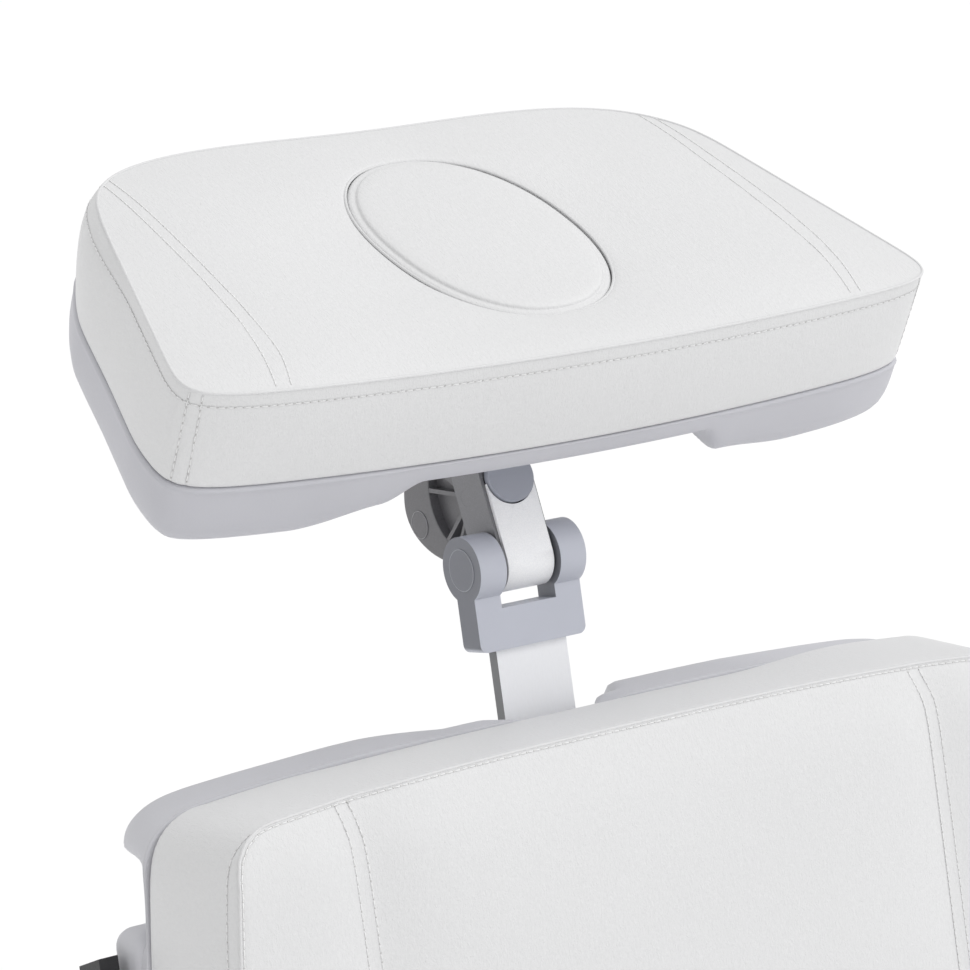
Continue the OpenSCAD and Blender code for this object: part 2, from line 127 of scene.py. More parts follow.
# ------------------------------------------------------------------ materials
class Mat:
    def __init__(self, name):
        self.m = bpy.data.materials.new(name)
        self.m.use_nodes = True
        self.t = self.m.node_tree
        self.b = self.t.nodes["Principled BSDF"]
        self.x = 0
        self.tc = self.n("ShaderNodeTexCoord")

    def n(self, kind, **kw):
        node = self.t.nodes.new(kind)
        self.x -= 180
        node.location = (self.x, 0)
        for k, v in kw.items():
            setattr(node, k, v)
        return node

    def link(self, a, b):
        self.t.links.new(a, b)

    def set(self, **kw):
        for k, v in kw.items():
            self.b.inputs[k.replace("_", " ")].default_value = v
        return self

    def mapping(self, scale=(1, 1, 1), rot=(0, 0, 0)):
        m = self.n("ShaderNodeMapping")
        m.inputs["Scale"].default_value = scale
        m.inputs["Rotation"].default_value = rot
        self.link(self.tc.outputs["Object"], m.inputs["Vector"])
        return m.outputs["Vector"]

    def noise(self, scale, detail=2.0, rough=0.5, vec=None, distortion=0.0):
        n = self.n("ShaderNodeTexNoise")
        n.inputs["Scale"].default_value = scale
        n.inputs["Detail"].default_value = detail
        n.inputs["Roughness"].default_value = rough
        n.inputs["Distortion"].default_value = distortion
        self.link(vec or self.tc.outputs["Object"], n.inputs["Vector"])
        return n.outputs["Fac"]

    def voronoi(self, scale, vec=None, feature="F1"):
        n = self.n("ShaderNodeTexVoronoi", feature=feature)
        n.inputs["Scale"].default_value = scale
        self.link(vec or self.tc.outputs["Object"], n.inputs["Vector"])
        return n.outputs["Distance"]

    def ramp(self, fac, stops):
        r = self.n("ShaderNodeValToRGB")
        el = r.color_ramp.elements
        while len(el) < len(stops):
            el.new(0.5)
        for e, (p, c) in zip(el, stops):
            e.position = p
            e.color = (*c, 1) if len(c) == 3 else c
        self.link(fac, r.inputs["Fac"])
        return r.outputs["Color"]

    def maprange(self, v, a, b, c, d, smooth=False):
        r = self.n("ShaderNodeMapRange")
        if smooth:
            r.interpolation_type = "SMOOTHSTEP"
        for i, k in enumerate(("From Min", "From Max", "To Min", "To Max")):
            r.inputs[k].default_value = (a, b, c, d)[i]
        self.link(v, r.inputs["Value"])
        return r.outputs["Result"]

    def math(self, op, a, b):
        m = self.n("ShaderNodeMath", operation=op)
        for i, v in enumerate((a, b)):
            if isinstance(v, (int, float)):
                m.inputs[i].default_value = v
            else:
                self.link(v, m.inputs[i])
        return m.outputs[0]

    def bump(self, height, distance, strength=1.0, normal=None):
        b = self.n("ShaderNodeBump")
        b.inputs["Distance"].default_value = distance
        b.inputs["Strength"].default_value = strength
        self.link(height, b.inputs["Height"])
        if normal is not None:
            self.link(normal, b.inputs["Normal"])
        return b.outputs["Normal"]

    def painted_side_shade(self, colour, k):
        """Painted shade: multiplies the colour by k on faces that look sideways (object space), so those sides read as
        if in shade.
        """
        if k == 1.0:
            return colour
        sep = self.n("ShaderNodeSeparateXYZ")
        self.link(self.tc.outputs["Normal"], sep.inputs[0])
        f = self.maprange(self.math("ABSOLUTE", sep.outputs[0], 0.0), 0.72, 0.97, 1.0, k, True)
        mix = self.n("ShaderNodeMix", data_type="RGBA", blend_type="MULTIPLY")
        mix.inputs[0].default_value = 1.0
        g = self.n("ShaderNodeCombineColor")
        for i in range(3):
            self.link(f, g.inputs[i])
        self.link(colour, mix.inputs[6])
        self.link(g.outputs[0], mix.inputs[7])
        return mix.outputs[2]

    def attr(self, name):
        a = self.n("ShaderNodeAttribute")
        a.attribute_name = name
        return a.outputs["Fac"]


def leather(name, base=(0.75, 0.751, 0.756), seams=True):
    m = Mat(name).set(Roughness=0.46)
    m.b.inputs["Specular IOR Level"].default_value = 0.42
    m.b.inputs["Sheen Weight"].default_value = 0.04
    lo = m.noise(6.0, 3.0)
    tone = m.ramp(lo, [(0.3, tuple(c * 0.985 for c in base)), (0.7, tuple(min(1, c * 1.01) for c in base))])
    fine = m.noise(420, 3.0, 0.6)
    mix = m.n("ShaderNodeMix", data_type="RGBA", blend_type="MULTIPLY")
    mix.inputs[0].default_value = 1.0
    m.link(tone, mix.inputs[6])
    m.link(m.ramp(fine, [(0.3, (0.972, 0.972, 0.972)), (0.65, (1, 1, 1))]), mix.inputs[7])
    colour = mix.outputs[2]
    if seams:
        # painted shade: the colour falls to 0.975 within 1.6 mm of the sewn lines, in their grooves
        d = m.attr("seam_d")
        seam_shade = m.maprange(d, 0.0, 0.0016, 0.975, 1.0, True)
        mix2 = m.n("ShaderNodeMix", data_type="RGBA", blend_type="MULTIPLY")
        mix2.inputs[0].default_value = 1.0
        m.link(colour, mix2.inputs[6])
        g = m.n("ShaderNodeCombineColor")
        for i in range(3):
            m.link(seam_shade, g.inputs[i])
        m.link(g.outputs[0], mix2.inputs[7])
        colour = mix2.outputs[2]
    m.link(colour, m.b.inputs["Base Color"])
    m.link(m.maprange(fine, 0.3, 0.7, 0.40, 0.52), m.b.inputs["Roughness"])
    grain_v = m.mapping((1.0, 0.55, 1.0), (0.3, 0.2, math.radians(38)))
    cells = m.voronoi(1150, grain_v)
    weave = m.noise(1500, 2.0, 0.6, grain_v)
    h = m.math("ADD", m.math("MULTIPLY", cells, 0.6), m.math("MULTIPLY", weave, 0.6))
    nrm = m.bump(h, 0.00016, 0.55)
    crease = m.noise(1.0, 4.0, 0.62, m.mapping((620, 150, 300), (0.15, 0.1, math.radians(-32))), 0.6)
    nrm = m.bump(crease, 0.00042, 0.85, nrm)
    soft = m.noise(38, 3.0, 0.55)
    nrm = m.bump(soft, 0.0006, 0.35, nrm)
    if seams:
        groove = m.maprange(m.attr("seam_d"), 0.0, 0.0013, 0.0, 1.0, True)
        nrm = m.bump(groove, 0.0004, 0.6, nrm)
    m.link(nrm, m.b.inputs["Normal"])
    return m.m


def plastic(name, base, rough=0.5, grain=700, depth=0.00007, spec=0.4, wear=0.03, side_shade=1.0):
    m = Mat(name)
    m.b.inputs["Specular IOR Level"].default_value = spec
    big = m.noise(14, 3.0)
    colour = m.ramp(big, [(0.3, tuple(c * (1 - wear) for c in base)), (0.7, tuple(min(1, c * (1 + wear * 0.6)) for c in base))])
    # painted shade: faces that look sideways are darkened by the given factor
    m.link(m.painted_side_shade(colour, side_shade), m.b.inputs["Base Color"])
    vein = m.noise(grain, 2.0, 0.6)
    m.link(m.maprange(vein, 0.3, 0.7, rough - 0.05, rough + 0.06), m.b.inputs["Roughness"])
    m.link(m.bump(vein, depth, 0.6), m.b.inputs["Normal"])
    return m.m


def metal_paint(name, base, rough=0.34, flake=0.10, metallic=0.55):
    m = Mat(name)
    m.b.inputs["Metallic"].default_value = metallic
    v = m.n("ShaderNodeTexVoronoi", feature="F1")
    v.inputs["Scale"].default_value = 2600
    m.link(m.tc.outputs["Object"], v.inputs["Vector"])
    hsv = m.n("ShaderNodeSeparateColor")
    m.link(v.outputs["Color"], hsv.inputs[0])
    m.link(m.ramp(hsv.outputs[0], [(0.0, tuple(c * (1 - flake) for c in base)), (0.7, base), (1.0, tuple(min(1, c * (1 + flake)) for c in base))]), m.b.inputs["Base Color"])
    m.link(m.maprange(hsv.outputs[1], 0, 1, rough - 0.05, rough + 0.08), m.b.inputs["Roughness"])
    m.link(m.bump(m.noise(900, 2.0), 0.00003, 0.5), m.b.inputs["Normal"])
    m.b.inputs["Coat Weight"].default_value = 0.25
    m.b.inputs["Coat Roughness"].default_value = 0.25
    return m.m


def brushed(name, base, rough=0.30, stretch=(900, 900, 12), side_shade=1.0):
    m = Mat(name)
    m.b.inputs["Metallic"].default_value = 0.10
    v = m.mapping(stretch)
    n = m.noise(1.0, 3.0, 0.6, v)
    # painted shade: faces that look sideways are darkened by the given factor
    m.link(m.painted_side_shade(m.ramp(n, [(0.3, tuple(c * 0.97 for c in base)), (0.7, base)]), side_shade), m.b.inputs["Base Color"])
    m.link(m.maprange(n, 0.3, 0.7, rough - 0.04, rough + 0.08), m.b.inputs["Roughness"])
    m.link(m.bump(n, 0.00003, 0.35), m.b.inputs["Normal"])
    return m.m


def powder(name, base, rough=0.55):
    m = Mat(name)
    n = m.noise(650, 3.0, 0.6)
    m.link(m.ramp(m.noise(9, 3.0), [(0.3, tuple(c * 0.9 for c in base)), (0.7, base)]), m.b.inputs["Base Color"])
    m.link(m.maprange(n, 0.3, 0.7, rough - 0.07, rough + 0.07), m.b.inputs["Roughness"])
    m.link(m.bump(n, 0.00012, 0.7), m.b.inputs["Normal"])
    return m.m


def ply(name):
    m = Mat(name)
    v = m.mapping((7, 1.4, 7))
    w = m.n("ShaderNodeTexWave", wave_type="BANDS", bands_direction="X")
    w.inputs["Scale"].default_value = 4.0
    w.inputs["Distortion"].default_value = 6.0
    w.inputs["Detail"].default_value = 3.0
    m.link(v, w.inputs["Vector"])
    m.link(m.ramp(w.outputs["Fac"], [(0.1, (0.50, 0.40, 0.28)), (0.9, (0.64, 0.54, 0.41))]), m.b.inputs["Base Color"])
    m.link(m.maprange(w.outputs["Fac"], 0, 1, 0.5, 0.65), m.b.inputs["Roughness"])
    m.link(m.bump(w.outputs["Fac"], 0.0001, 0.4), m.b.inputs["Normal"])
    return m.m


LEATHER = leather("upholstery_white")
SHELL = plastic("shell_plastic", (0.55, 0.55, 0.587), 0.50, 620, 0.00008)
# a lighter copy of the shell plastic for the backrest shell and its bosses: painted light on the back
SHELL_BACK_LIT = plastic("shell_plastic_back_lit", (0.60, 0.60, 0.632), 0.50, 620, 0.00008)
# the bracket's sideways faces are darkened to 0.385: painted shade on its sides
BRACKET = plastic("bracket_plastic", (0.56, 0.577, 0.645), 0.42, 800, 0.00004, side_shade=0.385)
# a darker copy of the bracket plastic for the release button: painted shade, as it sits under the headrest
BUTTON_SHADED = plastic("button_plastic_shaded", (0.36, 0.375, 0.43), 0.34, 800, 0.00003)
BLACK = plastic("black_plastic", (0.022, 0.022, 0.024), 0.45, 600, 0.00008, 0.45)
DARK = metal_paint("dark_metal", (0.20, 0.20, 0.212), 0.46, 0.10, 0.15)
HUB_DARK = metal_paint("dark_metal_hub", (0.15, 0.148, 0.156), 0.46, 0.10, 0.15)
SILVER = metal_paint("silver_metal", (0.955, 0.96, 0.98), 0.38, 0.06, 0.09)
# the bar's sideways faces are darkened to 0.22: painted shade on its sides
BAR = brushed("bar_aluminium", (0.965, 0.972, 0.995), 0.42, side_shade=0.22)
STEEL = powder("steel_frame", (0.105, 0.108, 0.115))
WOOD = ply("plywood")
RUBBER = powder("rubber_feet", (0.03, 0.03, 0.03), 0.75)
# lighter edge materials: painted highlights on the chamfered rims of the hub plugs and pivot caps
HUB_EDGE_HIGHLIGHT = metal_paint("dark_metal_edge_highlight", (0.34, 0.34, 0.355), 0.4, 0.05, 0.15)
CAP_EDGE_HIGHLIGHT = plastic("bracket_plastic_edge_highlight", (0.40, 0.41, 0.45), 0.4, 800, 0.00003)
THREAD = plastic("thread", (0.82, 0.82, 0.82), 0.6, 2500, 0.0001)
# darker than the leather: painted shade inside the needle holes
HOLE_SHADE = plastic("stitch_hole_shade", (0.62, 0.615, 0.605), 0.8, 2500, 0.0001)
THREAD_FINE = plastic("thread_fine", (0.89, 0.89, 0.89), 0.6, 2500, 0.0001)
HOLE_FINE = plastic("stitch_hole_fine", (0.79, 0.785, 0.775), 0.8, 2500, 0.0001)
SLOT_MAT = {
    "upholstery_white": LEATHER, "shell_plastic": SHELL, "bracket_plastic": BRACKET, "black_plastic": BLACK,
    "dark_metal": DARK, "silver_metal": SILVER, "bar_aluminium": BAR, "steel_frame": STEEL, "plywood": WOOD, "rubber_feet": RUBBER,
}

# ------------------------------------------------------------------ carried-over CAD nodes
slot_of = {s["node"]: s["material_slot"] for s in frame["record"]["subparts"]}
for name, ob in NODES.items():
    ob.data.materials.clear()
    ob.data.materials.append(SLOT_MAT[slot_of[name]])


# seen in the photograph: the neck's pins and hub caps are as dark as the hub
for name in ("upper_pivot_pin",):
    NODES[name].data.materials[0] = DARK
# the release button takes the darker copy of the bracket plastic: painted shade
NODES["release_button"].data.materials[0] = BUTTON_SHADED
NODES["tilt_hub"].data.materials[0] = HUB_DARK


def bevelled(name, width, segs=2, angle=32):
    ob = NODES[name]
    w = ob.modifiers.new("weld", "WELD")
    w.merge_threshold = 0.00001
    b = ob.modifiers.new("bevel", "BEVEL")
    b.width = width
    b.segments = segs
    b.limit_method = "ANGLE"
    b.angle_limit = math.radians(angle)
    b.use_clamp_overlap = True
    b.harden_normals = True
    return ob


# ------------------------------------------------------------------ soft goods
def lerp_rows(ys, hws, knots, counts):
    """A grid of (x, y): rows at ys, each running through the knots(y, hw) with counts[i] cells between knot i and i+1."""
    rows = []
    for y, hw in zip(ys, hws):
        ks = knots(y, hw)
        xs = []
        for i, n in enumerate(counts):
            a, b = ks[i], ks[i + 1]
            for j in range(n):
                t = j / n
                if i == 0:
                    t = 1 - (1 - t) ** 1.0
                xs.append(a + (b - a) * t)
        xs.append(ks[-1])
        rows.append([(x, y) for x in xs])
    return np.array(rows, float)


def rounded_rows(y0, y1, half, r0, r1, step, half_at=None):
    """Rows from y0 to y1 of a rounded rectangle of half width half (or half_at(y)), corner radii r0 at y0 and r1 at y1."""
    ys = [y0 + r0 * (1 - math.cos(a)) for a in np.linspace(0, math.pi / 2, max(5, int(r0 * 1.5 / step)))]
    n = max(3, int((y1 - r1 - y0 - r0) / step))
    ys += list(np.linspace(y0 + r0, y1 - r1, n + 1)[1:-1])
    ys += [y1 - r1 * (1 - math.cos(a)) for a in np.linspace(math.pi / 2, 0, max(5, int(r1 * 1.5 / step)))]
    hw = []
    for y in ys:
        h = half_at(y) if half_at else half
        if y < y0 + r0:
            h -= r0 - math.sqrt(max(0, r0 * r0 - (y0 + r0 - y) ** 2))
        if y > y1 - r1:
            h -= r1 - math.sqrt(max(0, r1 * r1 - (y - y1 + r1) ** 2))
        hw.append(h)
    return ys, hw


def box_cushion(name, grid, ztop, zbot, fr, side_rings, e_bot=0.0, top_z=None, edge=None):
    """A closed cushion mesh from a top grid (mm, local frame): top panel, side band and bottom. Returns the object and index arrays."""
    V, U = grid.shape[:2]
    loop = [(0, u) for u in range(U)] + [(v, U - 1) for v in range(1, V)] + [(V - 1, u) for u in range(U - 2, -1, -1)] + [(v, 0) for v in range(V - 2, 0, -1)]
    top = np.zeros((V, U, 3))
    top[..., :2] = grid
    top[..., 2] = ztop if top_z is None else top_z(grid[..., 0], grid[..., 1])
    verts = list(top.reshape(-1, 3))
    faces = []
    vid = lambda v, u: v * U + u
    for v in range(V - 1):
        for u in range(U - 1):
            faces.append((vid(v, u), vid(v, u + 1), vid(v + 1, u + 1), vid(v + 1, u)))
    n = len(loop)
    lp = np.array([grid[v, u] for v, u in loop])
    tan = np.roll(lp, -1, 0) - np.roll(lp, 1, 0)
    nor = np.stack([tan[:, 1], -tan[:, 0]], 1)
    nor /= np.linalg.norm(nor, axis=1)[:, None] + 1e-9
    zs_top = np.array([top[v, u, 2] for v, u in loop])
    prev = [vid(v, u) for v, u in loop]
    rings = [prev]
    for k in range(1, side_rings + 1):
        t = k / side_rings
        t = t if edge is None else edge(t)
        e = e_bot * t if not callable(e_bot) else np.array([e_bot(a, b, c, d) for (a, b), (c, d) in zip(nor, lp)])[:, None] * t
        p = np.zeros((n, 3))
        p[:, :2] = lp + nor * e
        p[:, 2] = zs_top + (zbot - zs_top) * t
        base = len(verts)
        verts += list(p)
        cur = [base + i for i in range(n)]
        for i in range(n):
            j = (i + 1) % n
            faces.append((prev[i], cur[i], cur[j], prev[j]))
        prev = cur
        rings.append(cur)
    # bottom panel: the same grid, its border on the last ring
    bottom = {}
    last = dict(zip(loop, prev))
    lastp = dict(zip(loop, range(n)))
    base = len(verts)
    bid = np.zeros((V, U), int)
    extra = []
    for v in range(V):
        for u in range(U):
            if (v, u) in last:
                bid[v, u] = last[(v, u)]
            else:
                bid[v, u] = base + len(extra)
                extra.append((grid[v, u, 0], grid[v, u, 1], zbot))
    verts += extra
    for v in range(V - 1):
        for u in range(U - 1):
            faces.append((bid[v, u], bid[v + 1, u], bid[v + 1, u + 1], bid[v, u + 1]))
    ob = make(name, to_row(np.array(verts), fr), faces, LEATHER)
    info = {"top": [vid(v, u) for v in range(V) for u in range(U)], "seam": rings[0], "bottom": sorted(set(bid.reshape(-1).tolist())), "rings": rings, "grid": (V, U)}
    return ob, info


def inflate(ob, pins, top, crown, side, fr, pressure=4.0, frames=16):
    """Cloth with air pressure, pinned along its seams. The result is scaled to the crown and side bulge wanted, then applied."""
    n = len(ob.data.vertices)
    rest = np.array([v.co for v in ob.data.vertices], float)
    topmask = np.zeros(n, bool)
    topmask[top] = True
    clock = time.time()
    vg = ob.vertex_groups.new(name="pins")
    vg.add([int(i) for i in pins], 1.0, "REPLACE")
    c = ob.modifiers.new("cloth", "CLOTH")
    s = c.settings
    s.quality = 3
    s.mass = 0.25
    s.tension_stiffness = s.compression_stiffness = 12
    s.shear_stiffness = 6
    s.bending_stiffness = 0.6
    s.use_pressure = True
    s.uniform_pressure_force = pressure
    s.effector_weights.gravity = 0.0
    s.vertex_group_mass = "pins"
    s.pin_stiffness = 1.0
    c.collision_settings.use_collision = False
    c.point_cache.frame_start, c.point_cache.frame_end = 1, frames
    for f in range(1, frames + 1):
        scene.frame_set(f)
    dg = bpy.context.evaluated_depsgraph_get()
    ev = ob.evaluated_get(dg)
    now = np.array([v.co for v in ev.data.vertices], float)
    ob.modifiers.remove(c)
    ob.vertex_groups.remove(vg)
    scene.frame_set(1)
    d = (now - rest) @ fr[1]          # displacement in the local frame, metres
    up = np.abs(d[topmask, 2]).max()
    sd = np.linalg.norm(d[~topmask][:, :2], axis=1).max()
    print("inflate", ob.name, n, "top %.1f mm, side %.1f mm, %.1f s" % (up * 1000, sd * 1000, time.time() - clock))
    out = d.copy()
    out[topmask] *= crown * MM / max(up, 1e-6)
    out[~topmask] *= side * MM / max(sd, 1e-6)
    out[~topmask, 2] *= 0.2
    new = rest + out @ fr[1].T
    ob.data.vertices.foreach_set("co", new.astype(np.float32).ravel())
    ob.data.update()
    return ob


def subdivided(ob, levels=1):
    m = ob.modifiers.new("sub", "SUBSURF")
    m.levels = m.render_levels = levels
    m.boundary_smooth = "ALL"
    return apply_mods(ob)


def resample(path, step):
    path = np.asarray(path, float)
    seg = np.linalg.norm(np.diff(path, axis=0), axis=1)
    s = np.concatenate([[0], np.cumsum(seg)])
    n = max(2, int(round(s[-1] / step)))
    q = np.linspace(0, s[-1], n + 1)
    return np.stack([np.interp(q, s, path[:, i]) for i in range(path.shape[1])], 1)


def surface_path(ob, pts, ray):
    """Drops row-frame points onto the mesh along ray (a Vector or one per point): positions and normals."""
    bvh = BVHTree.FromObject(ob, bpy.context.evaluated_depsgraph_get())
    P, N = [], []
    for i, p in enumerate(pts):
        r = ray[i] if isinstance(ray, list) else ray
        hit, nor, _, _ = bvh.ray_cast(Vector(p) - r * 0.04, r, 0.09)
        if hit is None:
            hit, nor, _, _ = bvh.find_nearest(Vector(p))
        if nor.dot(r) > 0:
            nor = -nor
        P.append(hit)
        N.append(nor)
    return P, N


def smooth_path(ob, line, times):
    """Evens out a sewn line that was dropped on the mesh, and puts it back on the surface."""
    P = np.array([tuple(p) for p in line[0]])
    for _ in range(times):
        P[1:-1] = (P[:-2] + 2 * P[1:-1] + P[2:]) / 4
    bvh = BVHTree.FromObject(ob, bpy.context.evaluated_depsgraph_get())
    out, nor = [], []
    for p, n0 in zip(P, line[1]):
        hit, n, _, _ = bvh.find_nearest(Vector(p))
        out.append(hit)
        nor.append(n if n.dot(n0) > 0 else n0)
    return out, nor


def seam_field(ob, paths, depth=0.7, width=1.5, store=True):
    """Stores each vertex's distance to the sewn lines for the material (store), which uses it for painted shade along
    them, and presses a groove along them.
    """
    pts = [Vector(p) for path in paths for p in path]
    kd = KDTree(max(1, len(pts)))
    for i, p in enumerate(pts):
        kd.insert(p, i)
    kd.balance()
    me = ob.data
    n = len(me.vertices)
    d = np.empty(n)
    co = [v.co.copy() for v in me.vertices]
    for i in range(n):
        d[i] = kd.find(co[i])[2] if pts else 1.0
    if store:
        at = me.attributes.get("seam_d") or me.attributes.new("seam_d", "FLOAT", "POINT")
        at.data.foreach_set("value", d.astype(np.float32))
    if depth > 0:
        nor = np.array([v.normal for v in me.vertices], float)
        c = np.array([tuple(v) for v in co])
        c -= nor * (depth * MM * np.exp(-(d / (width * MM)) ** 2))[:, None]
        me.vertices.foreach_set("co", c.astype(np.float32).ravel())
        me.update()


def stitches(name, lines, body, pitch=4.9, length=3.7, r=0.42, holes=True, thread=THREAD, hole=HOLE_SHADE):
    """Sewing thread: lines is a list of (points, normals) on the surface, one short thread per stitch with a needle
    hole between; the default hole material is darker than the leather, painted shade in the holes.
    """
    V, F, mats = [], [], []
    ring = 6
    prof = [(-0.5, 0.25), (-0.38, 0.85), (-0.15, 1.0), (0.15, 1.0), (0.38, 0.85), (0.5, 0.25)]
    for P, N in lines:
        P = np.array([tuple(p) for p in P])
        N = np.array([tuple(p) for p in N])
        seg = np.linalg.norm(np.diff(P, axis=0), axis=1)
        s = np.concatenate([[0], np.cumsum(seg)])
        count = int(s[-1] / (pitch * MM))
        for k in range(count):
            c = (k + 0.5) * pitch * MM
            p = np.array([np.interp(c, s, P[:, i]) for i in range(3)])
            q = np.array([np.interp(c + 0.001, s, P[:, i]) for i in range(3)]) - np.array([np.interp(c - 0.001, s, P[:, i]) for i in range(3)])
            nn = np.array([np.interp(c, s, N[:, i]) for i in range(3)])
            nn /= np.linalg.norm(nn)
            q /= np.linalg.norm(q) + 1e-12
            b = np.cross(nn, q)
            b /= np.linalg.norm(b)
            base = len(V)
            for t, rr in prof:
                lift = (1 - (2 * t) ** 2) * 0.28 - 0.12
                o = p + q * (t * length * MM) + nn * (lift * MM)
                for j in range(ring):
                    a = 2 * math.pi * j / ring
                    V.append(o + b * (math.cos(a) * r * rr * MM) + nn * (math.sin(a) * r * rr * 0.75 * MM))
            for i in range(len(prof) - 1):
                for j in range(ring):
                    j2 = (j + 1) % ring
                    F.append((base + i * ring + j, base + i * ring + j2, base + (i + 1) * ring + j2, base + (i + 1) * ring + j))
                    mats.append(0)
            F.append(tuple(base + j for j in range(ring - 1, -1, -1)))
            F.append(tuple(base + (len(prof) - 1) * ring + j for j in range(ring)))
            mats += [0, 0]
            if holes:
                c2 = (k + 1.0) * pitch * MM
                p2 = np.array([np.interp(c2, s, P[:, i]) for i in range(3)])
                base = len(V)
                V.append(p2 + nn * (0.12 * MM))
                for j in range(8):
                    a = 2 * math.pi * j / 8
                    V.append(p2 + q * (math.cos(a) * 0.62 * MM) + b * (math.sin(a) * 0.46 * MM) + nn * (0.05 * MM))
                V.append(p2 - nn * (0.5 * MM))
                for j in range(8):
                    F.append((base, base + 1 + j, base + 1 + (j + 1) % 8))
                    F.append((base + 9, base + 1 + (j + 1) % 8, base + 1 + j))
                    mats += [1, 1]
    ob = make(name, V, F, thread)
    ob.data.materials.append(hole)
    ob.data.polygons.foreach_set("material_index", mats)
    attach(ob, body)
    return ob


def tube(name, path, r, body, mat, closed=False, ring=10):
    """A round cord along row-frame points, for welts and seam ridges."""
    P = np.array([tuple(p) for p in path], float)
    n = len(P)
    V, F = [], []
    up = None
    for i in range(n):
        a = P[(i + 1) % n] if (closed or i < n - 1) else P[i]
        b = P[i - 1] if (closed or i > 0) else P[i]
        t = a - b
        t /= np.linalg.norm(t) + 1e-12
        if up is None:
            up = np.cross(t, [0.3, 0.5, 0.8])
        up = up - t * (up @ t)
        up /= np.linalg.norm(up)
        side = np.cross(t, up)
        for j in range(ring):
            g = 2 * math.pi * j / ring
            V.append(P[i] + (up * math.cos(g) + side * math.sin(g)) * r * MM)
    m = n if closed else n - 1
    for i in range(m):
        i2 = (i + 1) % n
        for j in range(ring):
            j2 = (j + 1) % ring
            F.append((i * ring + j, i * ring + j2, i2 * ring + j2, i2 * ring + j))
    if not closed:
        F.append(tuple(range(ring - 1, -1, -1)))
        F.append(tuple((n - 1) * ring + j for j in range(ring)))
    ob = make(name, V, F, mat)
    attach(ob, body)
    return ob


def smooth01(t):
    t = np.clip(t, 0, 1)
    return t * t * (3 - 2 * t)


# ------------------------------------------------------------------ the head pad
HL, HN, HF, BAND = 248.0, 524.0, 396.0, 58.5


def foot_flare(x, y):
    """How much further out the band's foot stands than its top edge."""
    left = 4.6 * smooth01((y + 122) / 50) + smooth01((y + 30) / 60) - 4.5 * smooth01((y - 30) / 50)
    right = -5.0 * smooth01((x - 200) / 50) * (1 - smooth01((y + 60) / 60))
    return np.where(x < 0, left, right)


def head_outline(n, e=0.0, near=15.0, foot=False):
    """n points round the head pad's outline, from the far middle, towards +x."""
    fine = np.linspace(0, 2 * math.pi, 4001)[:-1]
    c, s = np.sin(fine), np.cos(fine)
    near_side = s < 0
    p = np.where(near_side, 15.0, 5.0)
    q = (np.abs(c) ** p + np.abs(s) ** p) ** (-1 / p)
    X, Y = q * c, q * s
    wn, wf = HN + 2 * e, HF + 2 * e
    y = Y * np.where(near_side, HL / 2 + e, 119.5 + e)
    w = wn + (wf - wn) * (y + HL / 2 + e) / (HL + 2 * e)
    b = np.where(near_side, -near * (1 - X * X) * np.abs(Y), -3.0 * np.exp(-(X * w / 150) ** 2) * Y)
    pts = np.stack([X * w / 2, y + b], 1)
    if foot:
        nor = loop_normals(pts)
        pts = pts + nor * (foot_flare(pts[:, 0], pts[:, 1])[:, None] * np.clip(np.abs(nor[:, :1]) * 1.3, 0, 1))
    seg = np.linalg.norm(np.roll(pts, -1, 0) - pts, axis=1)
    t = np.concatenate([[0], np.cumsum(seg)])
    closed = np.vstack([pts, pts[:1]])
    q = np.linspace(0, t[-1], n + 1)[:-1]
    return np.stack([np.interp(q, t, closed[:, i]) for i in range(2)], 1)


def head_edge_z(x, y):
    """The pad's top falls away towards its far edge."""
    t = np.clip((y - 52) / 66.0, 0, 1)
    return -4.2 * t * t * (3 - 2 * t)


def egg(ang, a, b, cy=-10.5, p=2.2, rot=-5.0):
    """The face opening's outline at the angles ang (from the far side, towards +x)."""
    c, s = np.sin(ang), np.cos(ang)
    q = (np.abs(c / a) ** p + np.abs(s / b) ** p) ** (-1 / p)
    x, y = q * c, q * s
    g = math.radians(rot)
    return np.stack([x * math.cos(g) + y * math.sin(g), cy - x * math.sin(g) + y * math.cos(g)], 1)


def hole_ring(n, a, b, outline):
    ang = np.unwrap(np.arctan2(outline[:, 0], outline[:, 1] + 10.5))
    k = 12
    pad = np.concatenate([ang[-k:] - 2 * math.pi, ang, ang[:k] + 2 * math.pi])
    sm = np.convolve(pad, np.ones(13) / 13, "same")[k:-k]
    return egg(sm, a, b)


def ring_solid(name, rings, fr, mat, closed_loop=True):
    """A closed mesh of rings (each n x 3, local mm), joined in order. closed_loop joins the last ring to the first."""
    n = len(rings[0])
    V = np.concatenate(rings)
    F = []
    m = len(rings)
    for k in range(m if closed_loop else m - 1):
        k2 = (k + 1) % m
        for i in range(n):
            j = (i + 1) % n
            F.append((k * n + i, k2 * n + i, k2 * n + j, k * n + j))
    if not closed_loop:
        F.append(tuple(range(n)))
        F.append(tuple((m - 1) * n + i for i in range(n - 1, -1, -1)))
    return make(name, to_row(V, fr), F, mat)


def edge_welt(name, ob, loop, fr, normals, body, r=1.0, up=0.75):
    """A fine folded seam along an edge loop: loop is n x 3 in the local frame, normals its outward 2-D normals."""
    rays = [dir_row((-a, -b, -up), fr) for a, b in normals]
    P, N = surface_path(ob, to_row(loop, fr), rays)
    pts = [p - rays[i] * (-0.00015) for i, p in enumerate(P)]
    # even the path out
    Q = np.array([tuple(p) for p in pts])
    for _ in range(2):
        Q = (np.roll(Q, 1, 0) + 2 * Q + np.roll(Q, -1, 0)) / 4
    return tube(name, Q, r, body, LEATHER, closed=True, ring=8)


def loop_normals(lp):
    t = np.roll(lp[:, :2], -1, 0) - np.roll(lp[:, :2], 1, 0)
    n = np.stack([t[:, 1], -t[:, 0]], 1)
    n /= np.linalg.norm(n, axis=1)[:, None] + 1e-9
    c = lp[:, :2].mean(0)
    if ((lp[:, :2] - c) * n).sum() < 0:
        n = -n
    return n


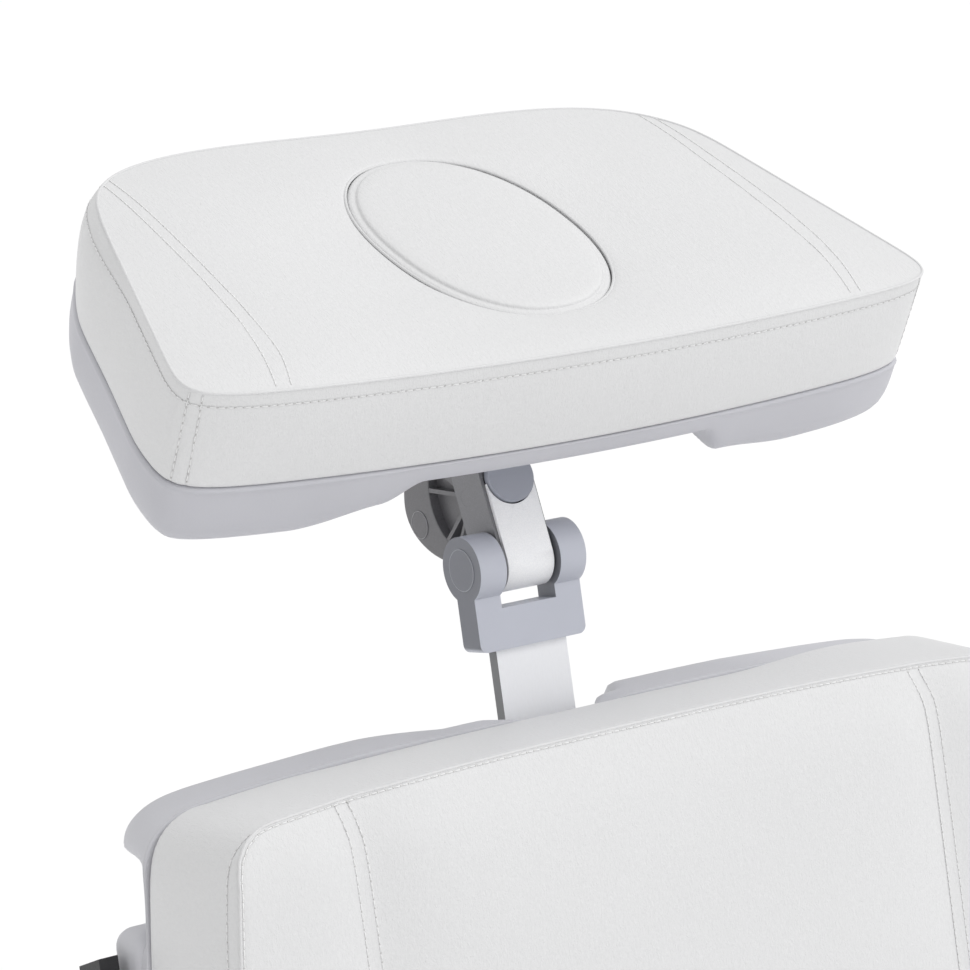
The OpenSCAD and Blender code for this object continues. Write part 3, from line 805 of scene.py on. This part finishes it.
def head_pad():
    N = 300
    out = head_outline(N)
    hole = hole_ring(N, 68, 87.5, out)
    rings = []
    M = 26
    ts = [0.5 - 0.5 * math.cos(math.pi * (0.12 + 0.88 * i / M)) for i in range(M + 1)]
    ts = [(t - ts[0]) / (ts[-1] - ts[0]) for t in ts]
    for k, t in enumerate(ts):
        p = hole + (out - hole) * t
        z = -1.2 * (1 - t) ** 3 - 1.6 * max(0.0, 1 - t / 0.035) ** 2 + head_edge_z(p[:, 0], p[:, 1])
        rings.append(np.column_stack([p, z]))
    top_n = len(rings)
    edge = head_edge_z(out[:, 0], out[:, 1])
    low = head_outline(N, 2.0, 17.0, True)
    on = loop_normals(out)
    for t in (0.03, 0.07, 0.13, 0.20, 0.30, 0.42, 0.55, 0.68, 0.80, 0.90, 0.96, 1.0):
        p = out + (low - out) * t
        z = edge + (-BAND - edge) * t
        far = smooth01((out[:, 1] + 30) / 80)
        p = p + on * ((1.0 * np.abs(on[:, 0]) * (0.6 + 5.4 * far)) * math.sin(math.pi * t ** 0.62))[:, None]
        rings.append(np.column_stack([p, z]))
    side_n = len(rings)
    for t in (0.97, 0.75, 0.5, 0.25, 0.0):
        p = hole + (low - hole) * t
        rings.append(np.column_stack([p, np.full(N, -BAND)]))
    hole2 = hole_ring(N, 69.2, 88.7, out)
    for z in (-46, -34, -22, -14, -9):
        rings.append(np.column_stack([hole2, np.full(N, z)]))
    rings.append(np.column_stack([hole_ring(N, 68.7, 88.2, out), np.full(N, -5.5)]))
    ob = ring_solid("headrest_pad_cover", rings, HEAD, LEATHER)
    total = len(rings)
    pins = list(range(0, N)) + list(range((top_n - 1) * N, top_n * N)) + list(range((side_n - 1) * N, total * N))
    outward(ob)
    inflate(ob, pins, list(range(N, (top_n - 1) * N)), 3.4, 2.2, HEAD)
    subdivided(ob)
    outward(ob)
    down = dir_row((0, 0, -1), HEAD)
    # the two sewn strips on each side
    strip_lines = []
    for sgn in (-1, 1):
        for off in (0, 1):
            pts = [(*strip_point(t, off, sgn), 0) for t in np.linspace(0, 1, 80)]
            strip_lines.append(surface_path(ob, resample(to_row(pts, HEAD), 0.0012), down))
    # the row of stitches under the edge
    e_loop = np.column_stack([out, edge])
    nor = loop_normals(e_loop)
    dense = resample(np.vstack([e_loop, e_loop[:1]]), 1.5)[:-1]
    dn = loop_normals(dense)
    row = dense - [0, 0, 8.4]
    P, Nn = surface_path(ob, to_row(row, HEAD), [dir_row((-a, -b, 0), HEAD) for a, b in dn])
    side_line = (P + P[:1], Nn + Nn[:1])
    # two upright seams at each near corner
    ups = []
    for sgn in (-1, 1):
        for xx, yy in ((257.2, -118.0), (250.6, -125.0)):
            i = int(np.argmin((dense[:, 0] - sgn * xx) ** 2 + (dense[:, 1] - yy) ** 2))
            a, b = dn[i]
            pts = [(dense[i, 0], dense[i, 1], z) for z in np.linspace(-1.5, -BAND + 1, 36)]
            ups.append(surface_path(ob, to_row(pts, HEAD), dir_row((-a, -b, 0), HEAD)))
    welt = edge_welt("headrest_edge_seam", ob, dense, HEAD, dn, "headrest", 0.95)
    rim = hole_ring(N, 68.6, 88.1, out)
    rz = head_edge_z(rim[:, 0], rim[:, 1]) - 2.2
    w2 = tube("headrest_opening_seam", to_row(np.column_stack([rim, rz]), HEAD), 0.9, "headrest", LEATHER, closed=True, ring=8)
    seam_field(ob, [[tuple(p) for p in l[0]] for l in strip_lines], 0.2, 1.8, False)
    seam_field(ob, [[tuple(p) for p in l[0]] for l in [side_line] + ups], 0.38, 1.3)
    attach(ob, "headrest")
    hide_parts("headrest_pad")
    for st in (stitches("headrest_stitching", [side_line] + ups, "headrest"),
               stitches("headrest_strip_stitching", strip_lines, "headrest", r=0.36, thread=THREAD_FINE, hole=HOLE_FINE)):
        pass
    return ob


STRIPS = {
    (-1, 0): ([-131, -115, -97, -49, -5, 64, 89, 112], [199.5, 193.0, 188.0, 185.0, 184.8, 185.0, 185.6, 186.5]),
    (-1, 1): ([-131, -115, -95, -64, -17, 40, 84, 108], [208.2, 203.2, 198.6, 194.0, 192.4, 192.6, 192.4, 192.6]),
    (1, 0): ([-133, -114, -85, -44, -5, 33, 79, 112], [187.0, 191.6, 196.4, 196.6, 194.8, 191.6, 190.0, 188.4]),
    (1, 1): ([-133, -100, -70, -28, 9, 43, 72, 108], [194.6, 203.0, 207.0, 207.6, 204.4, 200.4, 198.2, 195.4]),
}


def strip_point(t, off, sgn):
    """The sewn strips: t from the far edge to the near edge, off 0 the inner and 1 the outer line of stitches."""
    ys, xs = STRIPS[(sgn, off)]
    q = np.linspace(ys[0], ys[-1], 200)
    v = np.interp(q, ys, xs)
    k = np.exp(-np.linspace(-2, 2, 31) ** 2)
    v = np.convolve(np.pad(v, 15, mode="edge"), k / k.sum(), "valid")
    x0 = float(np.interp(-125, q, v))
    far = 116.0 - 3.2 * (x0 / 198.0) ** 5 - 5.5
    near = -(124 + 15 * (1 - (x0 / 262.0) ** 2)) + 0.9
    y = far + (near - far) * t
    return sgn * float(np.interp(y, q, v)), y


def face_plug():
    N = 240
    ang = np.linspace(0, 2 * math.pi, N + 1)[:-1]
    a, b = 61.6, 82.0

    def ring(off, z):
        return np.column_stack([egg(ang, a + off, b + off), np.full(N, z)])
    rings = [ring(-4, -54.4), ring(3.5, -53.4), ring(5.2, -50), ring(5.6, -38), ring(5.8, -24), ring(5.8, -12), ring(5.75, -5.6), ring(5.4, -3.6), ring(4.6, -2.7), ring(3.3, -2.25), ring(2.0, -2.1), ring(1.1, -2.05), ring(0.6, -1.85),
             ring(0.35, -1.4), ring(0.0, -0.85), ring(-0.8, -0.35), ring(-2.0, -0.05), ring(-4.4, 0.3)]
    for f in np.linspace(0.90, 0.04, 20):
        rings.append(np.column_stack([egg(ang, a * f, b * f), np.full(N, 0.25 + 1.6 * (1 - f ** 2))]))
    ob = ring_solid("face_plug_cover", rings, HEAD, LEATHER, closed_loop=False)
    outward(ob)
    j = int(np.argmin(np.abs(ang - math.radians(161))))
    q = egg(ang[j:j + 1], a + 0.3, b + 0.3)[0]
    P = [(q[0], q[1], z) for z in np.linspace(-0.8, -7, 16)]
    seam_field(ob, [list(map(tuple, to_row(P, HEAD)))], 0.6, 1.0)
    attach(ob, "face_hole_plug")
    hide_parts("face_plug")
    return ob


def tray_rings(base, centre, z0, depth_fn, wall, floor_rings, hole=None, soften=0, inset_fn=None, even=0):
    """Rings of a moulded shell: rim, outer wall by (side inset, end inset, share of depth) triples, then a floor that follows depth_fn(x, y)."""
    n = len(base)
    nor = loop_normals(base)
    for _ in range(even):
        nor = (np.roll(nor, 1, 0) + 2 * nor + np.roll(nor, -1, 0)) / 4
    nor /= np.linalg.norm(nor, axis=1)[:, None]
    full = (inset_fn or depth_fn)(base[:, 0], base[:, 1])
    k = full / full.max()
    for _ in range(soften):
        k = (np.roll(k, 1) + 2 * k + np.roll(k, -1)) / 4
    k = k[:, None]
    rings = [np.column_stack([base - nor * 6.0, np.full(n, z0)]), np.column_stack([base - nor * 1.0, np.full(n, z0)])]
    p = base
    for sx, sy, h in wall:
        w = nor[:, 1:2].clip(0, 1) ** 1.5
        ins = (sx * (1 - w) + sy * w) * k
        p = base - nor * ins
        d = depth_fn(p[:, 0], p[:, 1])
        for _ in range(soften):
            d = (np.roll(d, 1) + 2 * d + np.roll(d, -1)) / 4
        rings.append(np.column_stack([p, z0 - d * h]))
    end = hole if hole is not None else np.array(centre, float) + (p - np.array(centre, float)) * 0.02
    for f in np.linspace(0, 1, floor_rings + 1)[1:]:
        q = p + (end - p) * f
        rings.append(np.column_stack([q, z0 - depth_fn(q[:, 0], q[:, 1])]))
    return rings


def head_depth(x, y):
    """How far the shell reaches below its rim: two lobes either side of a shallow middle."""
    ax = np.abs(x)
    # the left lobe starts a little more gently than the right one
    right = 12.4 + 20.5 * smooth01((ax - 93) / 15.0) + 6.6 * smooth01((ax - 110) / 60.0) - 2.5 * np.clip((ax - 188) / 60, 0, 1) ** 1.4
    left = 12.4 + 14.5 * smooth01((ax - 103) / 25.0) + 13.2 * smooth01((ax - 120) / 62.0)
    return np.where(x > 0, right, left)


def head_shell():
    n = 420
    base = head_outline(n, 2.3, 17.6, True)
    hole = hole_ring(n, 58, 77, base)
    wall = [(0.0, 0.0, 0.012), (-0.9, -0.9, 0.045), (-0.4, -0.4, 0.07), (-0.4, -0.6, 0.14), (-0.3, -1.2, 0.32), (0.2, -1.4, 0.5), (1.0, -0.8, 0.64), (2.4, 0.8, 0.77),
            (4.6, 3.2, 0.87), (8.0, 6.5, 0.945), (12.5, 11.5, 0.985), (17, 17, 1.0)]
    rings = tray_rings(base, (0, -12), -BAND - 0.5, head_depth, wall, 44, hole)
    rings.append(np.column_stack([hole, np.full(n, -BAND - 0.5)]))
    ob = ring_solid("headrest_shell_cover", rings, HEAD, SHELL, closed_loop=True)
    outward(ob)
    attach(ob, "headrest")
    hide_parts("headrest_shell", "headrest_board")
    return ob


def hub_rim():
    """The hub's rounded outer rim and its two screw plugs, as in the photograph; y and z are from the tilt pivot."""
    outer = [(61.5, 17.5), (66.5, 7), (70.2, -4), (71.6, -13), (70.9, -22.8), (67.7, -29.7), (63.0, -35.0), (57.3, -39.0), (50.0, -42.3), (41.4, -44.7), (33, -45.8), (25, -46.1), (18, -45.2), (14.4, -43.4)]
    for _ in range(3):
        mid = [outer[0]]
        for a, b in zip(outer[:-1], outer[1:]):
            mid += [(0.75 * a[0] + 0.25 * b[0], 0.75 * a[1] + 0.25 * b[1]), (0.25 * a[0] + 0.75 * b[0], 0.25 * a[1] + 0.75 * b[1])]
        outer = mid + [outer[-1]]
    n = 72
    O = resample(outer, 1.0)
    O = np.stack([np.interp(np.linspace(0, 1, n), np.linspace(0, 1, len(O)), O[:, i]) for i in range(2)], 1)
    ang = np.radians(np.linspace(14, -83, n))
    I = np.stack([9.6 + 35.3 * np.cos(ang), -0.4 + 35.3 * np.sin(ang)], 1)
    V, F = [], []
    for o, i in zip(O, I):
        u = (i - o) / np.linalg.norm(i - o)
        sec = [(o, -13.2), (o + u * 0.45, -14.2), (o + u * 1.5, -14.6), (i - u * 0.2, -14.6), (i, -14.3),
               (i, 14.3), (i - u * 0.2, 14.6), (o + u * 1.5, 14.6), (o + u * 0.45, 14.2), (o, 13.2)]
        V += [(x, q[0], q[1]) for q, x in sec]
    m = 10
    for k in range(n - 1):
        for j in range(m):
            j2 = (j + 1) % m
            F.append((k * m + j, k * m + j2, (k + 1) * m + j2, (k + 1) * m + j))
    F.append(tuple(range(m)))
    F.append(tuple((n - 1) * m + j for j in range(m - 1, -1, -1)))
    ob = make("tilt_hub_rim", to_row(V, HUB), F, HUB_DARK)
    outward(ob)
    ob.modifiers.new("normals", "WEIGHTED_NORMAL")
    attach(ob, "headrest")
    V, F = [], []
    ring = 48
    for sgn in (-1, 1):
        rows = [(8.4, 13.4), (8.4, 14.55), (8.2, 14.85), (7.7, 15.0), (4.0, 15.05), (0.4, 15.05)]
        base = len(V)
        for r, x in rows:
            for j in range(ring):
                a = 2 * math.pi * j / ring
                V.append((sgn * x, 53.2 + r * math.cos(a), -29.6 + r * math.sin(a)))
        for k in range(len(rows) - 1):
            for j in range(ring):
                j2 = (j + 1) % ring
                F.append((base + k * ring + j, base + k * ring + j2, base + (k + 1) * ring + j2, base + (k + 1) * ring + j))
        F.append(tuple(base + j for j in range(ring - 1, -1, -1)))
        F.append(tuple(base + (len(rows) - 1) * ring + j for j in range(ring)))
    pl = make("hub_plugs_cover", to_row(V, HUB), F, HUB_DARK)
    outward(pl)
    pl.modifiers.new("normals", "WEIGHTED_NORMAL")
    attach(pl, "headrest")
    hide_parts("hub_plugs")
    # painted highlights: thin tubes in a lighter material round the plugs and the pivot caps stand for the light on
    # their chamfered edges
    turn = np.linspace(0, 2 * math.pi, 73)[:-1]
    for sgn, side in ((-1, "left"), (1, "right")):
        ring = [(sgn * 14.9, 53.2 + 8.3 * math.cos(a), -29.6 + 8.3 * math.sin(a)) for a in turn]
        r1 = tube("hub_plug_rim_highlight_" + side, to_row(ring, HUB), 0.26, "headrest", HUB_EDGE_HIGHLIGHT, closed=True, ring=8)
        ring = [(sgn * 37.75, 795 + 12.25 * math.cos(a), -67.5 + 12.25 * math.sin(a)) for a in turn]
        r2 = tube("pivot_cap_rim_highlight_" + side, to_row(ring, BACK), 0.3, "headrest_mast", CAP_EDGE_HIGHLIGHT, closed=True, ring=8)


# ------------------------------------------------------------------ the back
def flare(t):
    u = np.minimum(t, 330)
    return 0.166 * u - 0.166 * u * u / 660


def back_half(y):
    return 276.3 + float(flare(max(0.0, 700.0 - y)))


def back_pad():
    ytop, ybot, r1, r0 = 697.5, 53.0, 25.0, 42.0
    ys, hws = rounded_rows(ybot, ytop, 0, r0, r1, 11.0, back_half)
    xs = lambda y: 200.6 - 1.5 * smooth01((y - 672) / 26)
    kn = lambda y, hw: [-hw, -hw + 10, -min(xs(y), hw - 16), min(xs(y), hw - 16), hw - 10, hw]
    counts = [3, 8, 34, 8, 3]
    g = lerp_rows(ys, hws, kn, counts)
    # the top edge is arched
    w = np.clip((g[..., 1] - (ytop - 80)) / 80, 0, 1) ** 1.6
    g[..., 1] += w * 8.0 * (1 - np.clip(np.abs(g[..., 0]) / 252, 0, 1) ** 3)
    def ztop(x, y):
        # the face rolls over towards the top edge and is drawn in along the two seams
        seam = np.exp(-((np.abs(x) - 200.4) / 20.0) ** 2) * np.clip((y - ybot) / 30, 0, 1)
        return 55.0 - 8.5 * smooth01((y - (ytop - 34)) / 42) - 5.0 * seam * (1 - 0.6 * smooth01((y - (ytop - 30)) / 30))

    def foot(nx, ny, x, y):
        up = max(0.0, ny)
        return 2.4 + 3.4 * abs(nx) + up * (6.5 * float(smooth01((x - 110) / 90)) if x > 0 else 1.2 * float(smooth01((-x - 150) / 50)))

    ob, info = box_cushion("backrest_cushion_cover", g, 55.0, -32.8, BACK, 14, foot, ztop)
    V, U = info["grid"]
    cols = [11, 45]
    pins = list(info["seam"]) + list(info["bottom"])
    for c in cols:
        pins += [v * U + c for v in range(V)]
    outward_keep(ob)
    inflate(ob, pins, info["top"], 7.0, 2.6, BACK)
    subdivided(ob)
    outward(ob)
    inward = dir_row((0, 0, -1), BACK)
    lines = []
    for sgn in (-1, 1):
        for off in (-4.3, 4.3):
            bend = lambda y: (8.0 if sgn < 0 else -7.0) * float(smooth01((y - (ytop - 26)) / 34)) + (2.0 if sgn < 0 else -1.0)
            pts = [(sgn * (xs(y) + off + bend(y)), y + 8.0 * (1 - (200 / 252) ** 3) * max(0, min(1, (y - (ytop - 80)) / 80)) ** 1.6, 70) for y in np.linspace(ybot + 4, ytop - 0.6, 260)]
            lines.append(surface_path(ob, resample(to_row(pts, BACK), 0.0015), inward))
    lp = np.array(outline_loop(g))
    dense = resample(np.vstack([lp, lp[:1]]), 1.5)[:-1]
    nor = loop_normals(dense)
    ze = ztop(dense[:, 0], dense[:, 1])
    # one row of stitches on the side bands, running into the edge at the corners; one just inside the edge
    edge_lines = []
    up = np.abs(nor[:, 1])
    row = np.column_stack([dense, ze - 9.0 * (1 - smooth01((up - 0.35) / 0.6)) - 1.2])
    keep = up < 0.93
    for sgn in (-1, 1):
        idx = np.nonzero(keep & (dense[:, 0] * sgn > 0))[0]
        cuts = np.nonzero(np.diff(idx) > 1)[0]
        for part in np.split(idx, cuts + 1):
            if len(part) > 30:
                hit = surface_path(ob, to_row(row[part], BACK), [dir_row((-nor[i, 0], -nor[i, 1], 0), BACK) for i in part])
                edge_lines.append(smooth_path(ob, hit, 60))
    row = np.column_stack([dense - nor * 2.6, np.full(len(dense), 60.0)])
    P, Nn = surface_path(ob, to_row(row, BACK), inward)
    top_line = (P + P[:1], Nn + Nn[:1])
    welt = edge_welt("backrest_edge_seam", ob, np.column_stack([dense, ze]), BACK, nor, "backrest", 1.0)
    seam_field(ob, [[tuple(p) for p in l[0]] for l in lines], 0.28, 1.8, False)
    seam_field(ob, [[tuple(p) for p in l[0]] for l in edge_lines + [top_line]], 0.36, 1.4)
    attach(ob, "backrest")
    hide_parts("backrest_cushion")
    for st in (stitches("backrest_stitching", lines + edge_lines, "backrest"),
               stitches("backrest_edge_stitching", [top_line], "backrest", r=0.36, thread=THREAD_FINE, hole=HOLE_FINE)):
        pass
    return ob


def outward_keep(ob):
    """Turns the faces out without touching the order of the vertices."""
    import bmesh

    bm = bmesh.new()
    bm.from_mesh(ob.data)
    bmesh.ops.recalc_face_normals(bm, faces=bm.faces)
    bm.to_mesh(ob.data)
    bm.free()


def outline_loop(g):
    V, U = g.shape[:2]
    idx = [(0, u) for u in range(U)] + [(v, U - 1) for v in range(1, V)] + [(V - 1, u) for u in range(U - 2, -1, -1)] + [(v, 0) for v in range(V - 2, 0, -1)]
    return [g[v, u] for v, u in idx]


def simple_pad(name, node, body, fr, y0, y1, half, r, ztop, zbot, crown, side, seams=(), step=11.0, side_rings=9, e_bot=1.5, cells=36, band=8.0, welt=1.1):
    ys, hws = rounded_rows(y0, y1, half, r, r, step)
    kn = lambda y, hw: [-hw, -hw + 9] + [max(-hw + 12, min(hw - 12, k)) for k in sorted([-s for s in seams] + list(seams))] + [hw - 9, hw]
    if seams:
        inner = max(6, int(2 * min(seams) / step))
        outer = max(5, int((half - max(seams)) / step))
        counts = [3, outer, inner, outer, 3]
    else:
        counts = [2, cells, 2]
    g = lerp_rows(ys, hws, kn, counts)
    ob, info = box_cushion(name, g, ztop, zbot, fr, side_rings, e_bot)
    V, U = info["grid"]
    pins = list(info["seam"]) + list(info["bottom"])
    if seams:
        for c in (counts[0] + counts[1], counts[0] + counts[1] + counts[2]):
            pins += [v * U + c for v in range(V)]
    outward_keep(ob)
    inflate(ob, pins, info["top"], crown, side, fr)
    subdivided(ob)
    outward(ob)
    down = dir_row((0, 0, -1), fr)
    lines = []
    for s in seams:
        for sgn in (-1, 1):
            for off in (-4.3, 4.3):
                pts = [(sgn * (s + off), y, ztop + 12) for y in np.linspace(y0 + 1, y1 - 1, 120)]
                lines.append(surface_path(ob, resample(to_row(pts, fr), 0.0015), down))
    lp = np.array(outline_loop(g))
    dense = resample(np.vstack([lp, lp[:1]]), 1.5)[:-1]
    nor = loop_normals(dense)
    row = np.column_stack([dense, np.full(len(dense), ztop - band)])
    P, Nn = surface_path(ob, to_row(row, fr), [dir_row((-a, -b, 0), fr) for a, b in nor])
    edge_line = (P + P[:1], Nn + Nn[:1])
    w = edge_welt(name.replace("_cover", "_edge_seam"), ob, np.column_stack([dense, np.full(len(dense), ztop)]), fr, nor, body, welt)
    seam_field(ob, [[tuple(p) for p in l[0]] for l in lines + [edge_line]], 0.55, 1.5)
    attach(ob, body)
    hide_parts(node)
    st = stitches(name.replace("_cover", "_stitching"), lines + [edge_line], body)
    return ob


def back_outline(n):
    """n points round the shell's rim, from the top middle towards +x."""
    top = [(0, 704.5), (24, 704.5), (32, 706.5), (40, 708.6), (100, 708.6), (140, 708.2), (176, 706.6), (205, 705.2), (236, 703.2), (250, 701.6), (262, 698.8), (273.5, 693.7), (282.2, 686), (287.3, 675), (288.2, 660)]
    pts = list(top)
    for t in np.linspace(52, 600, 70):
        pts.append((276.3 + float(flare(t)) + 3.0 + 2.2 * float(1 - smooth01((t - 110) / 130)), 700 - t))
    xb = 276.3 + float(flare(600)) + 3.0
    for a in np.linspace(0, -90, 20):
        pts.append((xb - 40 + 40 * math.cos(math.radians(a)), 92 + 44 * math.sin(math.radians(a))))
    for x in np.linspace(xb - 40, 0, 30)[1:]:
        pts.append((x, 48.0))
    right = np.array(pts)
    full = np.vstack([right, right[::-1][1:-1] * [-1, 1]])
    seg = np.linalg.norm(np.roll(full, -1, 0) - full, axis=1)
    t = np.concatenate([[0], np.cumsum(seg)])
    closed = np.vstack([full, full[:1]])
    q = np.linspace(0, t[-1], n + 1)[:-1]
    p = np.stack([np.interp(q, t, closed[:, i]) for i in range(2)], 1)
    for _ in range(9):
        p = (np.roll(p, 1, 0) + 2 * p + np.roll(p, -1, 0)) / 4
    return p


def back_depth(x, y, notched=True):
    ax = np.abs(x)
    right = smooth01((ax - 43) / 20.0)
    left = np.clip((ax - 66) / 56.0, 0, 1)
    lobe = np.where(x > 0, right, 1 - (1 - left) ** 1.6)
    step = 0.28 * smooth01((ax - np.where(x > 0, 27, 41)) / 9.0)
    d = 12.0 + 40.5 * np.maximum(lobe, step)
    # the notch in each side under the upper corner
    if notched:
        notch = smooth01((y - 624) / 9.0) * (1 - smooth01((y - 675.5) / 5.0))
        d = d * (1 - notch * smooth01((ax - 252) / 14.0) * 0.64)
    # the shell is shallower towards its lower edge
    low = smooth01((170 - y) / 80.0)
    return np.maximum(d * (1 - low * 0.72), 11.6)


def back_shell():
    n = 1300
    base = back_outline(n)
    wall = [(0, 0, 0.004), (-0.8, -0.8, 0.02), (-0.2, -0.4, 0.045), (0.0, -0.6, 0.12), (1.6, -1.6, 0.25), (5.0, -2.6, 0.42), (8.5, -3.2, 0.58), (13, -3.0, 0.74), (19, -0.6, 0.87), (27, 4.5, 0.96), (38, 13, 1.0)]
    rings = tray_rings(base, (0, 380), -34.0, back_depth, wall, 60, None, 1, lambda x, y: back_depth(x, y, False), 60)
    ob = ring_solid("backrest_shell_cover", rings, BACK, SHELL_BACK_LIT, closed_loop=False)
    outward(ob)
    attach(ob, "backrest")
    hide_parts("backrest_shell")
    # the bosses that carry the roll holder
    for sgn, side in ((-1, "left"), (1, "right")):
        x0, x1, y0, y1, za, zb = 250.0, 294.0, 576.0, 639.0, -75.0, -38.0
        v = [(sgn * x, y, z) for x in (x0, x1) for y in (y0, y1) for z in (za, zb)]
        f = [(0, 1, 3, 2), (4, 6, 7, 5), (0, 4, 5, 1), (2, 3, 7, 6), (0, 2, 6, 4), (1, 5, 7, 3)]
        b = make("roll_holder_boss_" + side, to_row(v, BACK), f, SHELL_BACK_LIT, smooth=True)
        outward(b)
        m = b.modifiers.new("bevel", "BEVEL")
        m.width = 0.011
        m.segments = 6
        m.limit_method = "NONE"
        apply_mods(b)
        b.data.polygons.foreach_set("use_smooth", [True] * len(b.data.polygons))
        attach(b, "backrest")
    return ob


head_pad()
face_plug()
head_shell()
hub_rim()
back_pad()
back_shell()
simple_pad("seat_cushion_cover", "seat_cushion", "seat", SEAT, -403, 103, 299, 46, 595.0, 506.0, 9.0, 3.6, seams=(196,))
simple_pad("legrest_cushion_cover", "legrest_cushion", "legrest", LEG, -349, -15, 299, 36, 100.0, 5.0, 7.0, 3.6, seams=(196,))
simple_pad("footrest_pad_cover", "footrest_pad", "footrest", place((0, SY - 414 - 364.2 * math.cos(L) - 42 * math.sin(L), 495 - 364.2 * math.sin(L) + 42 * math.cos(L)), L + math.pi / 2), -58, 58, 294, 34, 63.0, 0.4, 4.0, 3.0, cells=60)
for sgn, side in ((-1, "left"), (1, "right")):
    simple_pad("armrest_pad_%s_cover" % side, "armrest_pad_" + side, side + "_armrest", place((sgn * 386, SY + 60, 790), 0), -389, -25, 39, 35, 56.0, 16.4, 4.0, 2.5, step=6.0, cells=14, side_rings=8)

for name, w, s in (("bar_bracket", 0.0014, 4), ("neck_link", 0.0008, 3), ("link_cover", 0.0006, 2), ("release_button", 0.0016, 4), ("tilt_hub", 0.0008, 2),
                   ("pivot_caps", 0.0007, 2), ("base_cover", 0.004, 3), ("seat_side_covers", 0.0012, 2), ("lift_column_outer", 0.0012, 2),
                   ("lift_column_collar", 0.0012, 2), ("armrest_posts", 0.002, 3), ("armrest_arm_left", 0.0025, 3), ("armrest_arm_right", 0.0025, 3),
                   ("bar_guide", 0.0015, 2), ("roll_holder_brackets", 0.0015, 2), ("roll_holder_rod", 0.0015, 2), ("backrest_motor", 0.003, 3), ("legrest_motor", 0.003, 3),
                   ("lift_motor", 0.002, 2), ("footrest_frame", 0.0015, 2), ("legrest_shell", 0.003, 2), ("head_plate", 0.0012, 2), ("control_box", 0.003, 2)):
    bevelled(name, w, s)

# ------------------------------------------------------------------ floor, light and camera
def floor():
    me = bpy.data.meshes.new("studio_floor")
    s = 60.0
    me.from_pydata([(-s, -s, 0), (s, -s, 0), (s, s, 0), (-s, s, 0)], [], [(0, 1, 2, 3)])
    ob = bpy.data.objects.new("studio_floor", me)
    col.objects.link(ob)
    m = Mat("floor")
    n = m.noise(1.2, 3.0)
    m.link(m.ramp(n, [(0.3, (0.955, 0.955, 0.955)), (0.7, (0.965, 0.965, 0.965))]), m.b.inputs["Base Color"])
    m.set(Roughness=0.9)
    me.materials.append(m.m)


floor()
world = bpy.data.worlds.new("studio")
scene.world = world
world.use_nodes = True
world.node_tree.nodes["Background"].inputs[0].default_value = (1.0, 1.0, 1.0, 1)
world.node_tree.nodes["Background"].inputs[1].default_value = 0.60
# the backdrop itself is as pale as the floor
wt = world.node_tree
pale = wt.nodes.new("ShaderNodeBackground")
pale.inputs[0].default_value = (1.0, 1.0, 1.0, 1)
pale.inputs[1].default_value = 0.985
path = wt.nodes.new("ShaderNodeLightPath")
both = wt.nodes.new("ShaderNodeMixShader")
wt.links.new(path.outputs["Is Camera Ray"], both.inputs[0])
wt.links.new(wt.nodes["Background"].outputs[0], both.inputs[1])
wt.links.new(pale.outputs[0], both.inputs[2])
wt.links.new(both.outputs[0], wt.nodes["World Output"].inputs[0])


def sun(name, to_light, strength, angle):
    li = bpy.data.lights.new(name, "SUN")
    li.energy = strength
    li.angle = math.radians(angle)
    ob = bpy.data.objects.new(name, li)
    col.objects.link(ob)
    ob.location = Vector(to_light) * 4
    ob.rotation_euler = (-Vector(to_light)).to_track_quat("-Z", "Y").to_euler()
    return ob


sun("key", (0.61, -0.197, 0.767), 1.28, 50)
sun("fill", (0.12, -0.85, 0.51), 0.55, 70)
sun("back", (-0.15, 0.85, 0.51), 0.42, 70)

cam_data = bpy.data.cameras.new("camera")
cam_data.lens = 148.8
cam_data.sensor_width = 36
cam_data.clip_end = 200
cam = bpy.data.objects.new("camera", cam_data)
col.objects.link(cam)
cam.location = (-1.2955, (HY - 1576.2) * MM, 1.9701)
cam.rotation_euler = (math.radians(90 - 15.53), 0, math.radians(-34.89))
scene.camera = cam
scene.view_settings.view_transform = "Standard"
scene.view_settings.look = "None"
